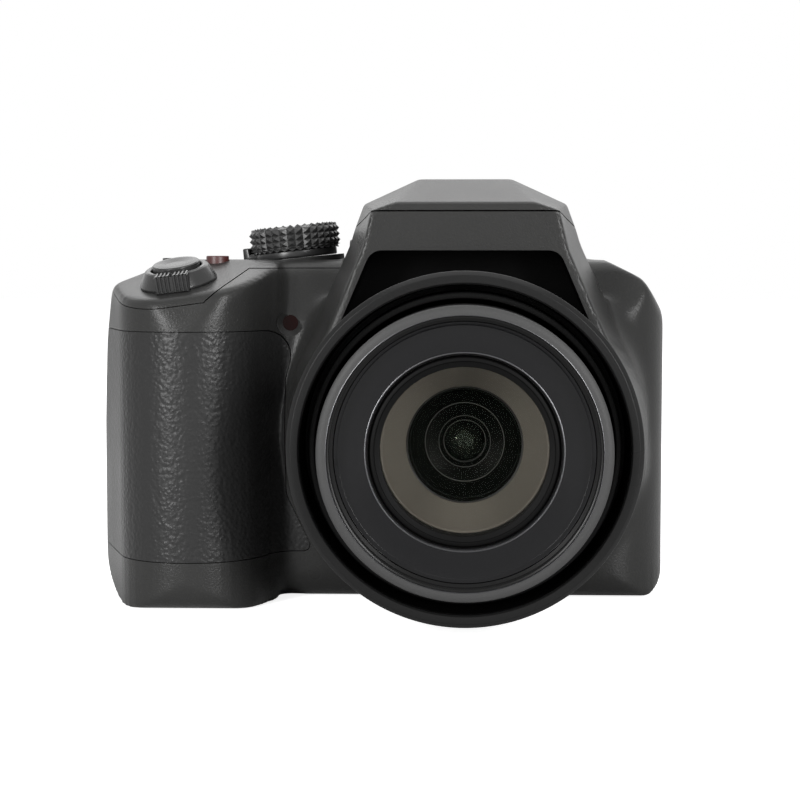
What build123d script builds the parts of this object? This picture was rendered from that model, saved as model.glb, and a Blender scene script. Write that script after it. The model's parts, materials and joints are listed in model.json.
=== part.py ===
"""Bridge camera with a long zoom lens, as an assembly of its separate pieces.

Millimetres, +Z up. The lens faces -Y and +X is to the right as one looks into the lens.
The origin is the mouth of the tripod socket in the base, below the lens axis.
"""

import os
from functools import cache
from math import cos, pi, radians, sin, sqrt

from build123d import *

# Outside of the body.
GRIP_SIDE = 84.5
PLAIN_SIDE = 45.7
BODY_FRONT = 26.0
BODY_REAR = 26.0
DECK_TOP = 76.9
WALL = 2.4
KNEE = 62.0
KNEE_SETBACK = 7.5
KNEE_ROUND = 6.0
SHELL_SPLIT = 4.0
BASE_ROUND = 6.5
REAR_ROUND = 5.0
PLAIN_CORNER_ROUND = 14.0
REAR_CORNER_ROUND = 7.0
GRIP_REAR_ROUND = 13.0
DECK_PLATE = 3.0
DECK_PLATE_INNER = 28.0
DECK_PLATE_REAR = 20.0

# Hand grip.
GRIP_FRONT = 45.5
GRIP_ROOT = 42.0
NOSE_INNER = 49.0
NOSE_OUTER = 73.0
NOSE_ROUND = 11.5
ROOT_ROUND = 7.0
GRIP_SIDE_BREAK = 10.0
GRIP_SIDE_ROUND = 20.0
GRIP_LIMIT = 41.5
GRIP_SETBACK = 4.5
DECK_LEAN = 14.0
DECK_ROLL = 7.0
RUBBER = 1.4
RUBBER_TOP = 61.2
RUBBER_BASE = 11.0
RUBBER_EDGE = 40.5
RUBBER_TOP_EDGE = 37.5
RUBBER_FOOT_EDGE = 34.3
RUBBER_WAIST_TOP = 50.0
RUBBER_WAIST_BASE = 24.0
RUBBER_ROUND = 6.0
RUBBER_FOOT_ROUND = 1.5
RUBBER_SIDE_REACH = 2.0

# Lens hood and viewfinder hump.
HOOD_FRONT = 42.0
HOOD_FOOT_SETBACK = 6.0
HOOD_ROOT = 24.0
HOOD_NOSE_RADIUS = 37.6
HOOD_ROOT_RADIUS = 41.5
HOOD_WALL = 1.9
HOOD_ROUND = 1.4
HUMP_TOP = 95.0
HUMP_CROWN = 20.7
HUMP_SHOULDER = 45.6
HUMP_SHOULDER_DROP = 5.7
HUMP_FLANK = 51.4
HUMP_FLANK_HEIGHT = 81.5
NOSE_CROWN = 31.0
NOSE_TOP = 89.2
NOSE_SHOULDER = 40.6
NOSE_SHOULDER_DROP = 1.6
BROW_WIDTH = 44.6
BROW = 79.0
LEG_FOOT_NOSE = 61.0
LEG_FOOT_ROOT = 73.0
HUMP_REAR = 27.0
HUMP_REAR_DROP = 5.0
HUMP_PEAK_END = 6.0

# Lens, measured along its axis from the tripod socket's plane, towards the front.
LENS_HEIGHT = 38.5
RUNNING_GAP = 0.3
BARREL_RADIUS = 35.0
BARREL_BORE = 33.6
BARREL_FRONT = 72.0
BARREL_REAR = 8.0
LENS_TAIL_RADIUS = 20.0
LENS_TAIL_REAR = -4.0
LENS_TAIL_BORE = 15.0
LENS_FLANGE_WIDTH = 66.0
LENS_FLANGE_HEIGHT = 62.0
LENS_FLANGE_THICKNESS = 2.0
RING_RADIUS = 36.3
RING_FRONT = 74.0
RING_LENGTH = 11.0
RING_CHAMFER = 0.8
CAM_WALL = 1.0
CAM_FRONT = 60.0
CAM_REAR = 10.0
CAM_SLOT_WIDTH = 3.0
CAM_SLOT_SLANT = 40.0
OUTER_STAGE_WALL = 1.3
OUTER_STAGE_FRONT = 70.0
OUTER_STAGE_REAR = 14.0
RIM_RADIUS = 29.65
RIM_FRONT = 82.0
INNER_STAGE_WALL = 1.6
INNER_STAGE_REAR = 18.0
INNER_STAGE_GUIDE = 8.0
FILTER_THREAD_RADIUS = 27.1
FILTER_THREAD_LENGTH = 4.0
NAME_RING_THICKNESS = 2.4
NAME_RING_BEVEL = 0.9
NAME_RING_STEP = 0.7
NAME_RING_BORE = 19.5
FRONT_GLASS_RADIUS = 18.7
FRONT_GLASS_EDGE = 6.0
FRONT_GLASS_CROWN = 2.2
GLASS_SEAT = 1.2
SECOND_GROUP_FRONT = 58.0
SECOND_GROUP_LENGTH = 9.0
SECOND_GLASS_RADIUS = 12.0
GROUP_RIM = 1.8
IRIS_FRONT = 38.0
IRIS_LENGTH = 6.0
IRIS_OPENING = 6.0
IRIS_BLADES = 6
FOCUS_GROUP_FRONT = 4.5
FOCUS_GROUP_LENGTH = 4.0
FOCUS_GLASS_RADIUS = 8.0
FOCUS_CARRIER_RADIUS = 13.0
FOCUS_TRAVEL = 2.0
FOCUS_RAIL_RADIUS = 0.8
FOCUS_RAIL_SPREAD = 10.5
SLIDE_GAP = 0.05
SENSOR_WIDTH = 26.0
SENSOR_HEIGHT = 22.0
SENSOR_THICKNESS = 4.0
SENSOR_CHIP_WIDTH = 6.2
SENSOR_CHIP_HEIGHT = 4.6
SENSOR_CHIP_THICKNESS = 0.8

# Pop-up flash, in the front half of the hump.
FLASH_LINE_FRONT = 87.7
FLASH_LINE_REAR = 79.6
FLASH_HINGE = 3.0
FLASH_HINGE_HEIGHT = 90.2
FLASH_KNUCKLE = 2.0
FLASH_PIN_RADIUS = 0.8
FLASH_PIN_REACH = 16.6
FLASH_EAR_PLACE = 8.0
FLASH_EAR_FOOT = 84.0
FLASH_EYE_RADIUS = 1.9
FLASH_ARM_WIDTH = 3.0
FLASH_ARM_PLACE = 14.5
FLASH_HEAD_WIDTH = 27.0
FLASH_HEAD_FRONT = 34.5
FLASH_HEAD_DEPTH = 12.0
FLASH_HEAD_BASE = 82.0
FLASH_HEAD_TOP = 88.8
FLASH_WINDOW_THICKNESS = 1.2
FLASH_WINDOW_MARGIN = 1.4
FLASH_RELEASE_RADIUS = 2.2
FLASH_RELEASE_PLACE = 14.0
FLASH_RELEASE_HEIGHT = 79.3
FLASH_RELEASE_PROUD = 0.8
FLASH_RELEASE_LENGTH = 5.0
LIFT_GAP = 0.65

# Electronic viewfinder.
FINDER_WIDTH = 25.0
FINDER_HEIGHT = 13.0
FINDER_BASE = 75.5
FINDER_FRONT = 9.2
EYEPIECE_WIDTH = 19.0
EYEPIECE_HEIGHT = 10.5
EYEPIECE_THICKNESS = 3.0
EYECUP_WIDTH = 38.0
EYECUP_HEIGHT = 20.5
EYECUP_BASE = 71.0
EYECUP_REACH = 37.2
EYECUP_CORNER = 6.0
EYECUP_ROUND = 1.6
EYECUP_MOUTH = 4.5
DIOPTER_RADIUS = 3.4
DIOPTER_THICKNESS = 3.0
DIOPTER_PROUD = 0.9
DIOPTER_Y = 17.0
DIOPTER_HEIGHT = 81.0
DIOPTER_AXLE = 1.0
DIOPTER_GROOVE = 0.35
DIOPTER_AXLE_LENGTH = 3.0
DIOPTER_GROOVES = 18

# Controls on the deck.
SHUTTER_X = -63.8
SHUTTER_Y = -31.0
SHUTTER_Z = 71.9
SHUTTER_RADIUS = 5.4
SHUTTER_HEIGHT = 4.6
SHUTTER_CAP = 3.0
SHUTTER_STEM = 1.6
BUTTON_STEM_LENGTH = 4.9
LEVER_BASE_RADIUS = 8.6
LEVER_TOP_RADIUS = 6.9
LEVER_HEIGHT = 3.6
LEVER_FLOOR = 0.5
LEVER_TAB_WIDTH = 7.4
LEVER_TAB_REACH = 9.6
LEVER_TAB_RIBS = 8
DIAL_X = -39.8
DIAL_Y = -2.0
DIAL_SEAT = 77.2
DIAL_SEAT_RADIUS = 11.2
DIAL_GAP = 0.15
DIAL_ROWS = 3
DIAL_STUD_WIDTH = 1.1
DIAL_RADIUS = 10.65
DIAL_HEIGHT = 5.2
DIAL_CHAMFER = 0.7
DIAL_ROLL = 6.0
DIAL_STUDS = 36
DIAL_STUD = 0.35
DIAL_SPINDLE = 2.0
POWER_RING_RADIUS = 9.6
POWER_RING_THICKNESS = 1.7
POWER_TAB_REACH = 12.6
POWER_TAB_WIDTH = 6.0
POWER_TAB_HEIGHT = 3.4
POWER_REST_TURN = 20.0
RECORD_X = -57.0
RECORD_Y = -15.5
FUNCTION_X = -67.5
FUNCTION_Y = -13.0
FUNCTION_TOP = 76.4
SMALL_BUTTON_RADIUS = 2.6
SMALL_BUTTON_PROUD = 0.9
SMALL_BUTTON_FLANGE = 0.8
FACE_GAP = 0.3

# Controls on the back.
REAR_DIAL_X = -64.0
REAR_DIAL_Y = 20.4
REAR_DIAL_Z = 67.0
REAR_DIAL_RADIUS = 7.4
REAR_DIAL_THICKNESS = 5.0
REAR_DIAL_TEETH = 30
REAR_DIAL_AXLE = 1.2
REAR_BRACKET = 2.0
PAD_X = -54.5
PAD_Z = 31.0
PAD_INNER = 6.2
PAD_OUTER = 10.6
PAD_GAP = 20.0
MENU_RADIUS = 4.4
REAR_KEY_RADIUS = 3.1
REAR_KEY_PROUD = 0.8
REAR_KEY_LENGTH = 4.0
KEY_FLANGE = 0.8
KEY_FLANGE_GAP = 0.2
VIEW_KEY_X = -31.0
VIEW_KEY_Z = 68.4
LOCK_KEY_X = -44.0
LOCK_KEY_Z = 68.0
PLAY_KEY_X = -45.5
PLAY_KEY_Z = 52.5
QUICK_KEY_X = -62.0
QUICK_KEY_Z = 51.0
DISPLAY_KEY_X = -46.0
DISPLAY_KEY_Z = 13.0
DELETE_KEY_X = -62.0
DELETE_KEY_Z = 13.0
THUMB_RUBBER = 1.2
THUMB_DEPTH = 14.0
THUMB_INNER = 70.0
THUMB_BASE = 34.0
THUMB_TOP = 63.0

# Screen.
SCREEN_X = 3.0
SCREEN_Z = 33.5
SCREEN_WIDTH = 72.0
SCREEN_HEIGHT = 55.0
SCREEN_GLASS = 1.4
SCREEN_CORNER = 2.5
SCREEN_LEDGE = 3.0
PANEL_THICKNESS = 4.0

# Power, boards and sockets.
BATTERY_X = -62.5
BATTERY_FRONT = 31.0
BATTERY_WIDTH = 20.0
BATTERY_DEPTH = 34.0
BATTERY_HEIGHT = 48.0
BATTERY_BASE = 4.5
BATTERY_CORNER = 3.0
HOLDER_WALL = 1.2
HOLDER_GAP = 0.3
DOOR_THICKNESS = 1.8
DOOR_RAISE = 0.2
DOOR_MARGIN = 0.3
DOOR_GAP = 0.3
DOOR_KNUCKLE = 1.0
DOOR_PIN_REACH = 3.0
DOOR_PIN = 0.5
LATCH_WIDTH = 8.0
LATCH_LENGTH = 5.0
LATCH_INSET = 2.0
LATCH_PROUD = 0.15
LATCH_TRAVEL = 2.0
CARD_WIDTH = 24.0
CARD_HEIGHT = 32.0
CARD_THICKNESS = 2.1
CARD_SLOT_WALL = 1.0
CARD_CUT = 2.0
CHASSIS_PLATE = 1.2
CHASSIS_BASE = 6.0
CHASSIS_TOP = 70.0
CHASSIS_INSET = 9.2
CHASSIS_RIGHT = PLAIN_SIDE - CHASSIS_INSET
CHASSIS_LEFT = -46.0
STANDOFF = 1.6
STANDOFF_RADIUS = 2.0
BOARD = 1.4
BOARD_MARGIN = 4.0
CHIP_WIDTH = 13.0
CHIP_HEIGHT = 12.0
CHIP_THICKNESS = 1.2
CAPACITOR_RADIUS = 3.8
CAPACITOR_LENGTH = 26.0
CAPACITOR_X = 39.2
CAPACITOR_BASE = 25.0
CAPACITOR_Y = -12.0
MOTOR_RADIUS = 4.6
MOTOR_LENGTH = 10.5
MOTOR_X = 34.5
MOTOR_Z = 11.0
MOTOR_FRONT = 20.0
MOTOR_BRACKET_REACH = 7.0
TERMINAL_Y = 12.0
TERMINAL_Z = 44.0
TERMINAL_WIDTH = 12.0
TERMINAL_HEIGHT = 24.0
TERMINAL_DOOR = 1.4
TERMINAL_PIN = 0.35
SOCKET_DEPTH = 6.0
SOCKET_WIDTH = 6.6
SOCKET_HEIGHT = 8.0
SOCKET_WALL = 0.5
SOCKET_SPACING = 11.0

# Fastening and trim.
TRIPOD_RADIUS = 2.55
TRIPOD_DEPTH = 5.5
TRIPOD_NECK_RADIUS = 4.6
TRIPOD_BOSS_RADIUS = 6.4
TRIPOD_BOSS_HEIGHT = 7.2
LAMP_X = -39.4
LAMP_Z = 62.7
LAMP_RADIUS = 1.75
LAMP_RECESS = 3.0
LAMP_SINK = 0.7
LAMP_LENGTH = 5.0
LUG_WIDTH = 9.0
LUG_HEIGHT = 8.0
LUG_THICKNESS = 2.2
LUG_Y = -2.0
LUG_BASE = 61.5
LUG_PROUD = 0.4
LUG_ROUND = 1.6
LUG_HOLE = 1.1
SCREW_RADIUS = 0.85
SCREW_HEAD = 1.6
SCREW_HEAD_THICKNESS = 0.9
SCREW_LENGTH = 6.0
SCREW_SINK = 0.4
SCREW_INSET = 8.5
SCREW_PLAIN_INSET = 17.0
SCREW_INNER = 40.0
SCREW_BOSS = 2.4

# Spare lengths for forms and cuts.
FORM_SPARE = 0.3
OVERRUN = 5.0
REACH = 200.0

# Outline corners as shares of the body's sides and deck, from the left shoulder down.
LEFT_SHARES = ((0.78, 1.005), (0.951, 0.925), (0.979, 0.787), (1.0, 0.44), (1.0, 0.22), (0.988, -0.005))
LEFT_ROUND_SHARES = (0.13, 0.05, 0.2, 0.4, 0.2, 0.12)
RIGHT_SHARES = ((1.0, -0.005), (1.0, 0.84), (0.885, 0.943), (0.68, 1.005))
RIGHT_ROUND_SHARES = (0.085, 0.06, 0.05, 0.1)


def block(x_from, x_to, y_from, y_to, z_from, z_to):
    """A box between its two corners."""
    lowest = (Align.MIN, Align.MIN, Align.MIN)
    return Pos(x_from, y_from, z_from) * Box(x_to - x_from, y_to - y_from, z_to - z_from, align=lowest)


def rod_x(y, z, x_from, x_to, radius):
    """A round bar along X."""
    base = (Align.CENTER, Align.CENTER, Align.MIN)
    return Pos(x_from, y, z) * Rot(0, 90, 0) * Cylinder(radius, x_to - x_from, align=base)


def rod_y(x, z, y_from, y_to, radius):
    """A round bar along Y."""
    base = (Align.CENTER, Align.CENTER, Align.MIN)
    return Pos(x, y_to, z) * Rot(90, 0, 0) * Cylinder(radius, y_to - y_from, align=base)


def rod_z(x, y, z_from, z_to, radius):
    """A round bar along Z."""
    base = (Align.CENTER, Align.CENTER, Align.MIN)
    return Pos(x, y, z_from) * Cylinder(radius, z_to - z_from, align=base)


def outline(corners, rounds, inset=0):
    """A flat face with rounded corners, drawn in all round by the inset."""
    face = make_face(FilletPolyline(*corners, radius=rounds, close=True))
    if inset:
        face = offset(face, amount=-inset)
    return face


def prism_x(face, x_from, x_to):
    """A face drawn in Y and Z, made solid along X."""
    return extrude(Plane.YZ.offset(x_from) * face, amount=x_to - x_from, dir=(1, 0, 0))


def prism_y(face, y_from, y_to):
    """A face drawn in X and Z, made solid along Y."""
    return extrude(Plane.XZ.offset(-y_to) * face, amount=y_to - y_from, dir=(0, -1, 0))


def prism_z(face, z_from, z_to):
    """A face drawn in X and Y, made solid along Z."""
    return extrude(Plane.XY.offset(z_from) * face, amount=z_to - z_from, dir=(0, 0, 1))


def plan_face(inset=0):
    """The body from above: straight back, round plain end, and the nose of the grip."""
    corners = (
        (-GRIP_SIDE, BODY_REAR),
        (PLAIN_SIDE, BODY_REAR),
        (PLAIN_SIDE, -BODY_FRONT),
        (-GRIP_ROOT, -BODY_FRONT),
        (-NOSE_INNER, -GRIP_FRONT),
        (-NOSE_OUTER, -GRIP_FRONT),
        (-GRIP_SIDE, -GRIP_SIDE_BREAK),
    )
    rounds = (
        GRIP_REAR_ROUND,
        REAR_CORNER_ROUND,
        PLAIN_CORNER_ROUND,
        ROOT_ROUND,
        NOSE_ROUND,
        NOSE_ROUND,
        GRIP_SIDE_ROUND,
    )
    return outline(corners, rounds, inset - FORM_SPARE)


def front_face(inset=0):
    """The body from the front, without the hump and the lens hood."""
    left = [(-GRIP_SIDE * x_share, DECK_TOP * z_share) for x_share, z_share in LEFT_SHARES]
    right = [(PLAIN_SIDE * x_share, DECK_TOP * z_share) for x_share, z_share in RIGHT_SHARES]
    rounds = [DECK_TOP * share for share in LEFT_ROUND_SHARES + RIGHT_ROUND_SHARES]
    return outline(left + right, rounds, inset)


def side_face(front, setback, inset=0):
    """The body from the side: an upright front up to the knee, which then leans back to the deck."""
    corners = (
        (-front, 0),
        (-front, KNEE),
        (-front + setback, DECK_TOP),
        (BODY_REAR, DECK_TOP),
        (BODY_REAR, 0),
    )
    rounds = (BASE_ROUND, KNEE_ROUND, KNEE_ROUND, REAR_ROUND, BASE_ROUND)
    return outline(corners, rounds, inset)


def shutter_frame():
    """The leaning plane of the grip's deck, where the shutter button sits."""
    return Pos(SHUTTER_X, SHUTTER_Y, SHUTTER_Z) * Rot(DECK_LEAN, -DECK_ROLL, 0)


@cache
def main_form(inset=0):
    """The body without its hump and hood, solid, drawn in by the inset."""
    ends = prism_z(plan_face(inset), -OVERRUN, DECK_TOP + OVERRUN)
    sides = prism_y(front_face(inset), -GRIP_FRONT - OVERRUN, BODY_REAR + OVERRUN)
    middle = prism_x(side_face(BODY_FRONT, KNEE_SETBACK, inset), -GRIP_SIDE, PLAIN_SIDE)
    grip = prism_x(side_face(GRIP_FRONT, GRIP_SETBACK, inset), -GRIP_SIDE, -GRIP_LIMIT - inset)
    lowest = (Align.CENTER, Align.CENTER, Align.MAX)
    below_deck = shutter_frame() * Pos(0, 0, -inset) * Box(REACH, REACH, REACH, align=lowest)
    return ends & sides & (middle + (grip & below_deck))


def hood_section(y, crown, top, shoulder, shoulder_z, flank, flank_z, foot, radius, inset):
    """One cross-section of the hood: a flat-topped hump whose legs run down into the ring round the lens."""
    foot_z = LENS_HEIGHT + sqrt(radius**2 - (foot / 2) ** 2)
    right = [(crown / 2, top), (shoulder / 2, shoulder_z), (flank / 2, flank_z), (foot / 2, foot_z)]
    left = [(-x, z) for x, z in reversed(right)]
    sides = Polyline(*left, *right)
    round_part = ThreePointArc(right[-1], (0, LENS_HEIGHT - radius), left[0])
    face = make_face([sides, round_part])
    if inset:
        face = offset(face, amount=-inset)
    return Plane.XZ.offset(-y) * face


@cache
def hood_form(inset=0):
    """The hump's nose and the hood round the lens, narrowing towards the front."""
    nose = hood_section(
        -HOOD_FRONT + inset,
        NOSE_CROWN,
        NOSE_TOP,
        NOSE_SHOULDER,
        NOSE_TOP - NOSE_SHOULDER_DROP,
        BROW_WIDTH,
        BROW,
        LEG_FOOT_NOSE,
        HOOD_NOSE_RADIUS,
        inset,
    )
    root = hood_section(
        -HOOD_ROOT,
        HUMP_CROWN,
        HUMP_TOP,
        HUMP_SHOULDER,
        HUMP_TOP - HUMP_SHOULDER_DROP,
        HUMP_FLANK,
        HUMP_FLANK_HEIGHT,
        LEG_FOOT_ROOT,
        HOOD_ROOT_RADIUS,
        inset,
    )
    form = loft([root, nose], ruled=True)
    if not inset:
        front = form.faces().sort_by(Axis.Y)[0]
        form = fillet(front.edges(), HOOD_ROUND)
    lean = Rot(-180 / pi * HOOD_FOOT_SETBACK / (BROW - LENS_HEIGHT + HOOD_NOSE_RADIUS), 0, 0)
    ahead = (Align.CENTER, Align.MAX, Align.CENTER)
    trimmed = Pos(0, -HOOD_FRONT + inset, NOSE_TOP) * lean * Box(REACH, REACH, REACH, align=ahead)
    return form - trimmed


def parting_height(y):
    """Height of the line where the pop-up flash parts from the hump, at a place along Y."""
    fall = (FLASH_LINE_FRONT - FLASH_LINE_REAR) / (HOOD_FRONT + FLASH_HINGE)
    return FLASH_LINE_FRONT - fall * (y + HOOD_FRONT)


@cache
def hump_form(inset=0):
    """The rear part of the hump, which holds the viewfinder."""
    half_widths = (
        (HUMP_FLANK / 2, DECK_TOP - DECK_PLATE - OVERRUN),
        (HUMP_FLANK / 2, HUMP_FLANK_HEIGHT),
        (HUMP_SHOULDER / 2, HUMP_TOP - HUMP_SHOULDER_DROP),
        (HUMP_CROWN / 2, HUMP_TOP),
    )
    corners = list(half_widths) + [(-x, z) for x, z in reversed(half_widths)]
    across = prism_y(outline(corners, 0, inset), -HOOD_ROOT, HUMP_REAR - inset)
    along = (
        (-HOOD_ROOT - OVERRUN, 0),
        (-HOOD_ROOT - OVERRUN, HUMP_TOP - inset),
        (HUMP_PEAK_END, HUMP_TOP - inset),
        (HUMP_REAR - inset, HUMP_TOP - HUMP_REAR_DROP - inset),
        (HUMP_REAR - inset, 0),
    )
    return across & prism_x(outline(along, 0), -REACH / 2, REACH / 2)


def body_form():
    """The whole outside of the body, solid and flat underneath."""
    form = main_form() + hood_form() + hump_form()
    return form - block(-REACH, REACH, -REACH, REACH, -REACH, 0)


def cavity_form():
    """The space inside the shells: the body's, the hump's, and the flash's above the brow."""
    nose = hood_form(HOOD_WALL) & block(-REACH, REACH, -REACH, -HOOD_ROOT, BROW + HOOD_WALL, REACH)
    return main_form(WALL) + hump_form(WALL) + nose


def lens_recess():
    """The dark space under the brow and round the fixed barrel, open to the front."""
    radius = HOOD_NOSE_RADIUS - HOOD_WALL
    foot = LEG_FOOT_NOSE / 2 - HOOD_WALL
    foot_z = LENS_HEIGHT + sqrt(radius**2 - foot**2)
    right = [(BROW_WIDTH / 2 - HOOD_WALL, BROW), (foot, foot_z)]
    left = [(-x, z) for x, z in reversed(right)]
    face = make_face([Polyline(*left, *right), ThreePointArc(right[-1], (0, LENS_HEIGHT - radius), left[0])])
    return prism_y(face, -HOOD_FRONT - OVERRUN, -BODY_FRONT - WALL)


def flash_zone(gap=0):
    """The space that the pop-up flash takes in the hump: above the parting line, round at the hinge."""
    ahead = -HOOD_FRONT - OVERRUN
    corners = (
        (ahead, parting_height(ahead) - gap),
        (FLASH_HINGE + gap, parting_height(FLASH_HINGE) - gap),
        (FLASH_HINGE + gap, HUMP_TOP + OVERRUN),
        (ahead, HUMP_TOP + OVERRUN),
    )
    zone = prism_x(outline(corners, 0), -REACH / 2, REACH / 2)
    swing = HUMP_TOP - FLASH_HINGE_HEIGHT
    crown = HUMP_CROWN / 2
    slope = (HUMP_SHOULDER - HUMP_CROWN) / 2 / HUMP_SHOULDER_DROP
    zone += rod_x(FLASH_HINGE, FLASH_HINGE_HEIGHT, -crown, crown, swing + gap)
    low = (Align.CENTER, Align.CENTER, Align.MIN)
    for side in (-1, 1):
        cone = Cone(swing + gap, SLIDE_GAP + gap, slope * swing, align=low)
        zone += Pos(side * crown, FLASH_HINGE, FLASH_HINGE_HEIGHT) * Rot(0, side * 90, 0) * cone
    return zone


def deck_zone():
    """The space of the top plate over the grip: a layer under the leaning deck and the level one."""
    above = (Align.CENTER, Align.CENTER, Align.MIN)
    leaning = shutter_frame() * Pos(0, 0, -DECK_PLATE) * Box(REACH, REACH, REACH, align=above)
    leaning = leaning & block(-REACH, -NOSE_INNER, -REACH, DECK_PLATE_REAR, 0, REACH)
    base = DECK_TOP - DECK_PLATE
    level = block(-REACH, -DECK_PLATE_INNER, -REACH, DECK_PLATE_REAR, base, DECK_TOP + DECK_PLATE)
    return (leaning + level) - hood_form()


def dial_seat():
    """The round raised seat of the mode dial."""
    return dial_frame() * disc(DIAL_SEAT_RADIUS, -DECK_PLATE, 0)


def rubber_zone():
    """Outline of the grip's rubber, seen from the front, as far back as the side of the grip."""
    corners = (
        (-GRIP_SIDE - OVERRUN, RUBBER_TOP),
        (-RUBBER_TOP_EDGE, RUBBER_TOP),
        (-RUBBER_EDGE, RUBBER_WAIST_TOP),
        (-RUBBER_EDGE, RUBBER_WAIST_BASE),
        (-RUBBER_FOOT_EDGE, RUBBER_BASE),
        (-GRIP_SIDE - OVERRUN, RUBBER_BASE),
    )
    rounds = (0, RUBBER_ROUND, RUBBER_ROUND, RUBBER_ROUND, RUBBER_FOOT_ROUND, 0)
    return prism_y(outline(corners, rounds), -GRIP_FRONT - OVERRUN, RUBBER_SIDE_REACH)


def grip_rubber():
    """Leather-grained rubber let into the grip."""
    return ((main_form() - main_form(RUBBER)) & rubber_zone()) - hood_form()


def thumb_zone():
    """Outline of the rubber for the thumb, at the back."""
    corners = (
        (-GRIP_SIDE - OVERRUN, THUMB_BASE),
        (-GRIP_SIDE - OVERRUN, THUMB_TOP),
        (-THUMB_INNER, THUMB_TOP),
        (-THUMB_INNER, THUMB_BASE),
    )
    rounds = (0, 0, RUBBER_ROUND, RUBBER_ROUND)
    return prism_y(outline(corners, rounds), BODY_REAR - THUMB_DEPTH, BODY_REAR + OVERRUN)


def thumb_rubber():
    """Rubber for the thumb, let into the back."""
    return (main_form() - main_form(THUMB_RUBBER)) & thumb_zone()


def rear_keys():
    """Name, X and Z of each round key on the back."""
    return (
        ("view_button", VIEW_KEY_X, VIEW_KEY_Z),
        ("lock_button", LOCK_KEY_X, LOCK_KEY_Z),
        ("play_button", PLAY_KEY_X, PLAY_KEY_Z),
        ("quick_menu_button", QUICK_KEY_X, QUICK_KEY_Z),
        ("display_button", DISPLAY_KEY_X, DISPLAY_KEY_Z),
        ("delete_button", DELETE_KEY_X, DELETE_KEY_Z),
    )


def key_form(x, z, radius, gap=0):
    """A round key through the back, with a flange inside that keeps it in."""
    cap = rod_y(x, z, BODY_REAR - REAR_KEY_LENGTH, BODY_REAR + REAR_KEY_PROUD + gap, radius + gap)
    inner = BODY_REAR - WALL - KEY_FLANGE_GAP
    flange = rod_y(x, z, inner - KEY_FLANGE, inner, radius + KEY_FLANGE)
    return cap if gap else cap + flange


def pad_key(turn, gap=0):
    """One arc-shaped direction key, turned to its place round the menu key."""
    half = 45 - PAD_GAP / 2 + (gap / PAD_INNER) * 180 / pi
    inner, outer = PAD_INNER - gap, PAD_OUTER + gap
    corners = ((inner, -half), (inner, 0), (inner, half), (outer, half), (outer, 0), (outer, -half))
    places = [(radius * cos(radians(angle)), radius * sin(radians(angle))) for radius, angle in corners]
    face = make_face([
        ThreePointArc(places[0], places[1], places[2]),
        Line(places[2], places[3]),
        ThreePointArc(places[3], places[4], places[5]),
        Line(places[5], places[0]),
    ])
    y_to = BODY_REAR + REAR_KEY_PROUD + gap
    placed = Plane.XZ.offset(-y_to) * Rot(0, 0, turn) * face
    return Pos(PAD_X, 0, PAD_Z) * extrude(placed, amount=REAR_KEY_LENGTH + REAR_KEY_PROUD, dir=(0, -1, 0))


def dial_frame():
    """The leaning plane under the mode dial."""
    return Pos(DIAL_X, DIAL_Y, DIAL_SEAT) * Rot(0, -DIAL_ROLL, 0)


def disc(radius, base, top):
    """A round plate on its own plane, from its base to its top."""
    low = (Align.CENTER, Align.CENTER, Align.MIN)
    return Pos(0, 0, base) * Cylinder(radius, top - base, align=low)


def mode_dial():
    """Mode dial with three rows of studs round its edge, on a spindle."""
    base = POWER_RING_THICKNESS + 2 * DIAL_GAP
    top = base + DIAL_HEIGHT
    cap = disc(DIAL_RADIUS - DIAL_STUD, base, top)
    cap = chamfer(cap.edges().sort_by(Axis.Z)[-1], DIAL_CHAMFER)
    cap += disc(DIAL_SPINDLE, -DECK_PLATE - DIAL_GAP, base)
    row = (DIAL_HEIGHT - 2 * DIAL_CHAMFER) / DIAL_ROWS
    studs = []
    for level in range(DIAL_ROWS):
        z = base + DIAL_CHAMFER / 2 + row * (level + 1 / 2)
        for step in range(DIAL_STUDS):
            stud = Box(2 * DIAL_STUD, DIAL_STUD_WIDTH, row - DIAL_STUD)
            studs.append(Rot(0, 0, 360 * step / DIAL_STUDS) * Pos(DIAL_RADIUS - DIAL_STUD, 0, z) * stud)
    return dial_frame() * (cap + studs)


def power_lever():
    """Ring under the mode dial with an upright thumb tab that switches the camera on."""
    ring = disc(POWER_RING_RADIUS, DIAL_GAP, DIAL_GAP + POWER_RING_THICKNESS)
    tab = Pos(-POWER_TAB_REACH, 0, DIAL_GAP) * Box(
        POWER_TAB_REACH - POWER_RING_RADIUS + DIAL_CHAMFER, POWER_TAB_WIDTH, POWER_RING_THICKNESS,
        align=(Align.MIN, Align.CENTER, Align.MIN))
    upright = Pos(-POWER_TAB_REACH, 0, DIAL_GAP) * Box(
        POWER_TAB_REACH - DIAL_RADIUS - FACE_GAP, POWER_TAB_WIDTH, POWER_TAB_HEIGHT,
        align=(Align.MIN, Align.CENTER, Align.MIN))
    lever = ring + tab + upright - disc(DIAL_SPINDLE + SLIDE_GAP, -OVERRUN, OVERRUN)
    return dial_frame() * Rot(0, 0, -POWER_REST_TURN) * lever


def shutter_button():
    """Shutter button on its stem, slightly dished."""
    cap = disc(SHUTTER_RADIUS, SHUTTER_HEIGHT - SHUTTER_CAP, SHUTTER_HEIGHT)
    cap = chamfer(cap.edges().sort_by(Axis.Z)[-1], DIAL_STUD)
    stem = disc(SHUTTER_STEM, -DECK_PLATE - DIAL_GAP, SHUTTER_HEIGHT - SHUTTER_CAP)
    return shutter_frame() * (cap + stem)


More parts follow.
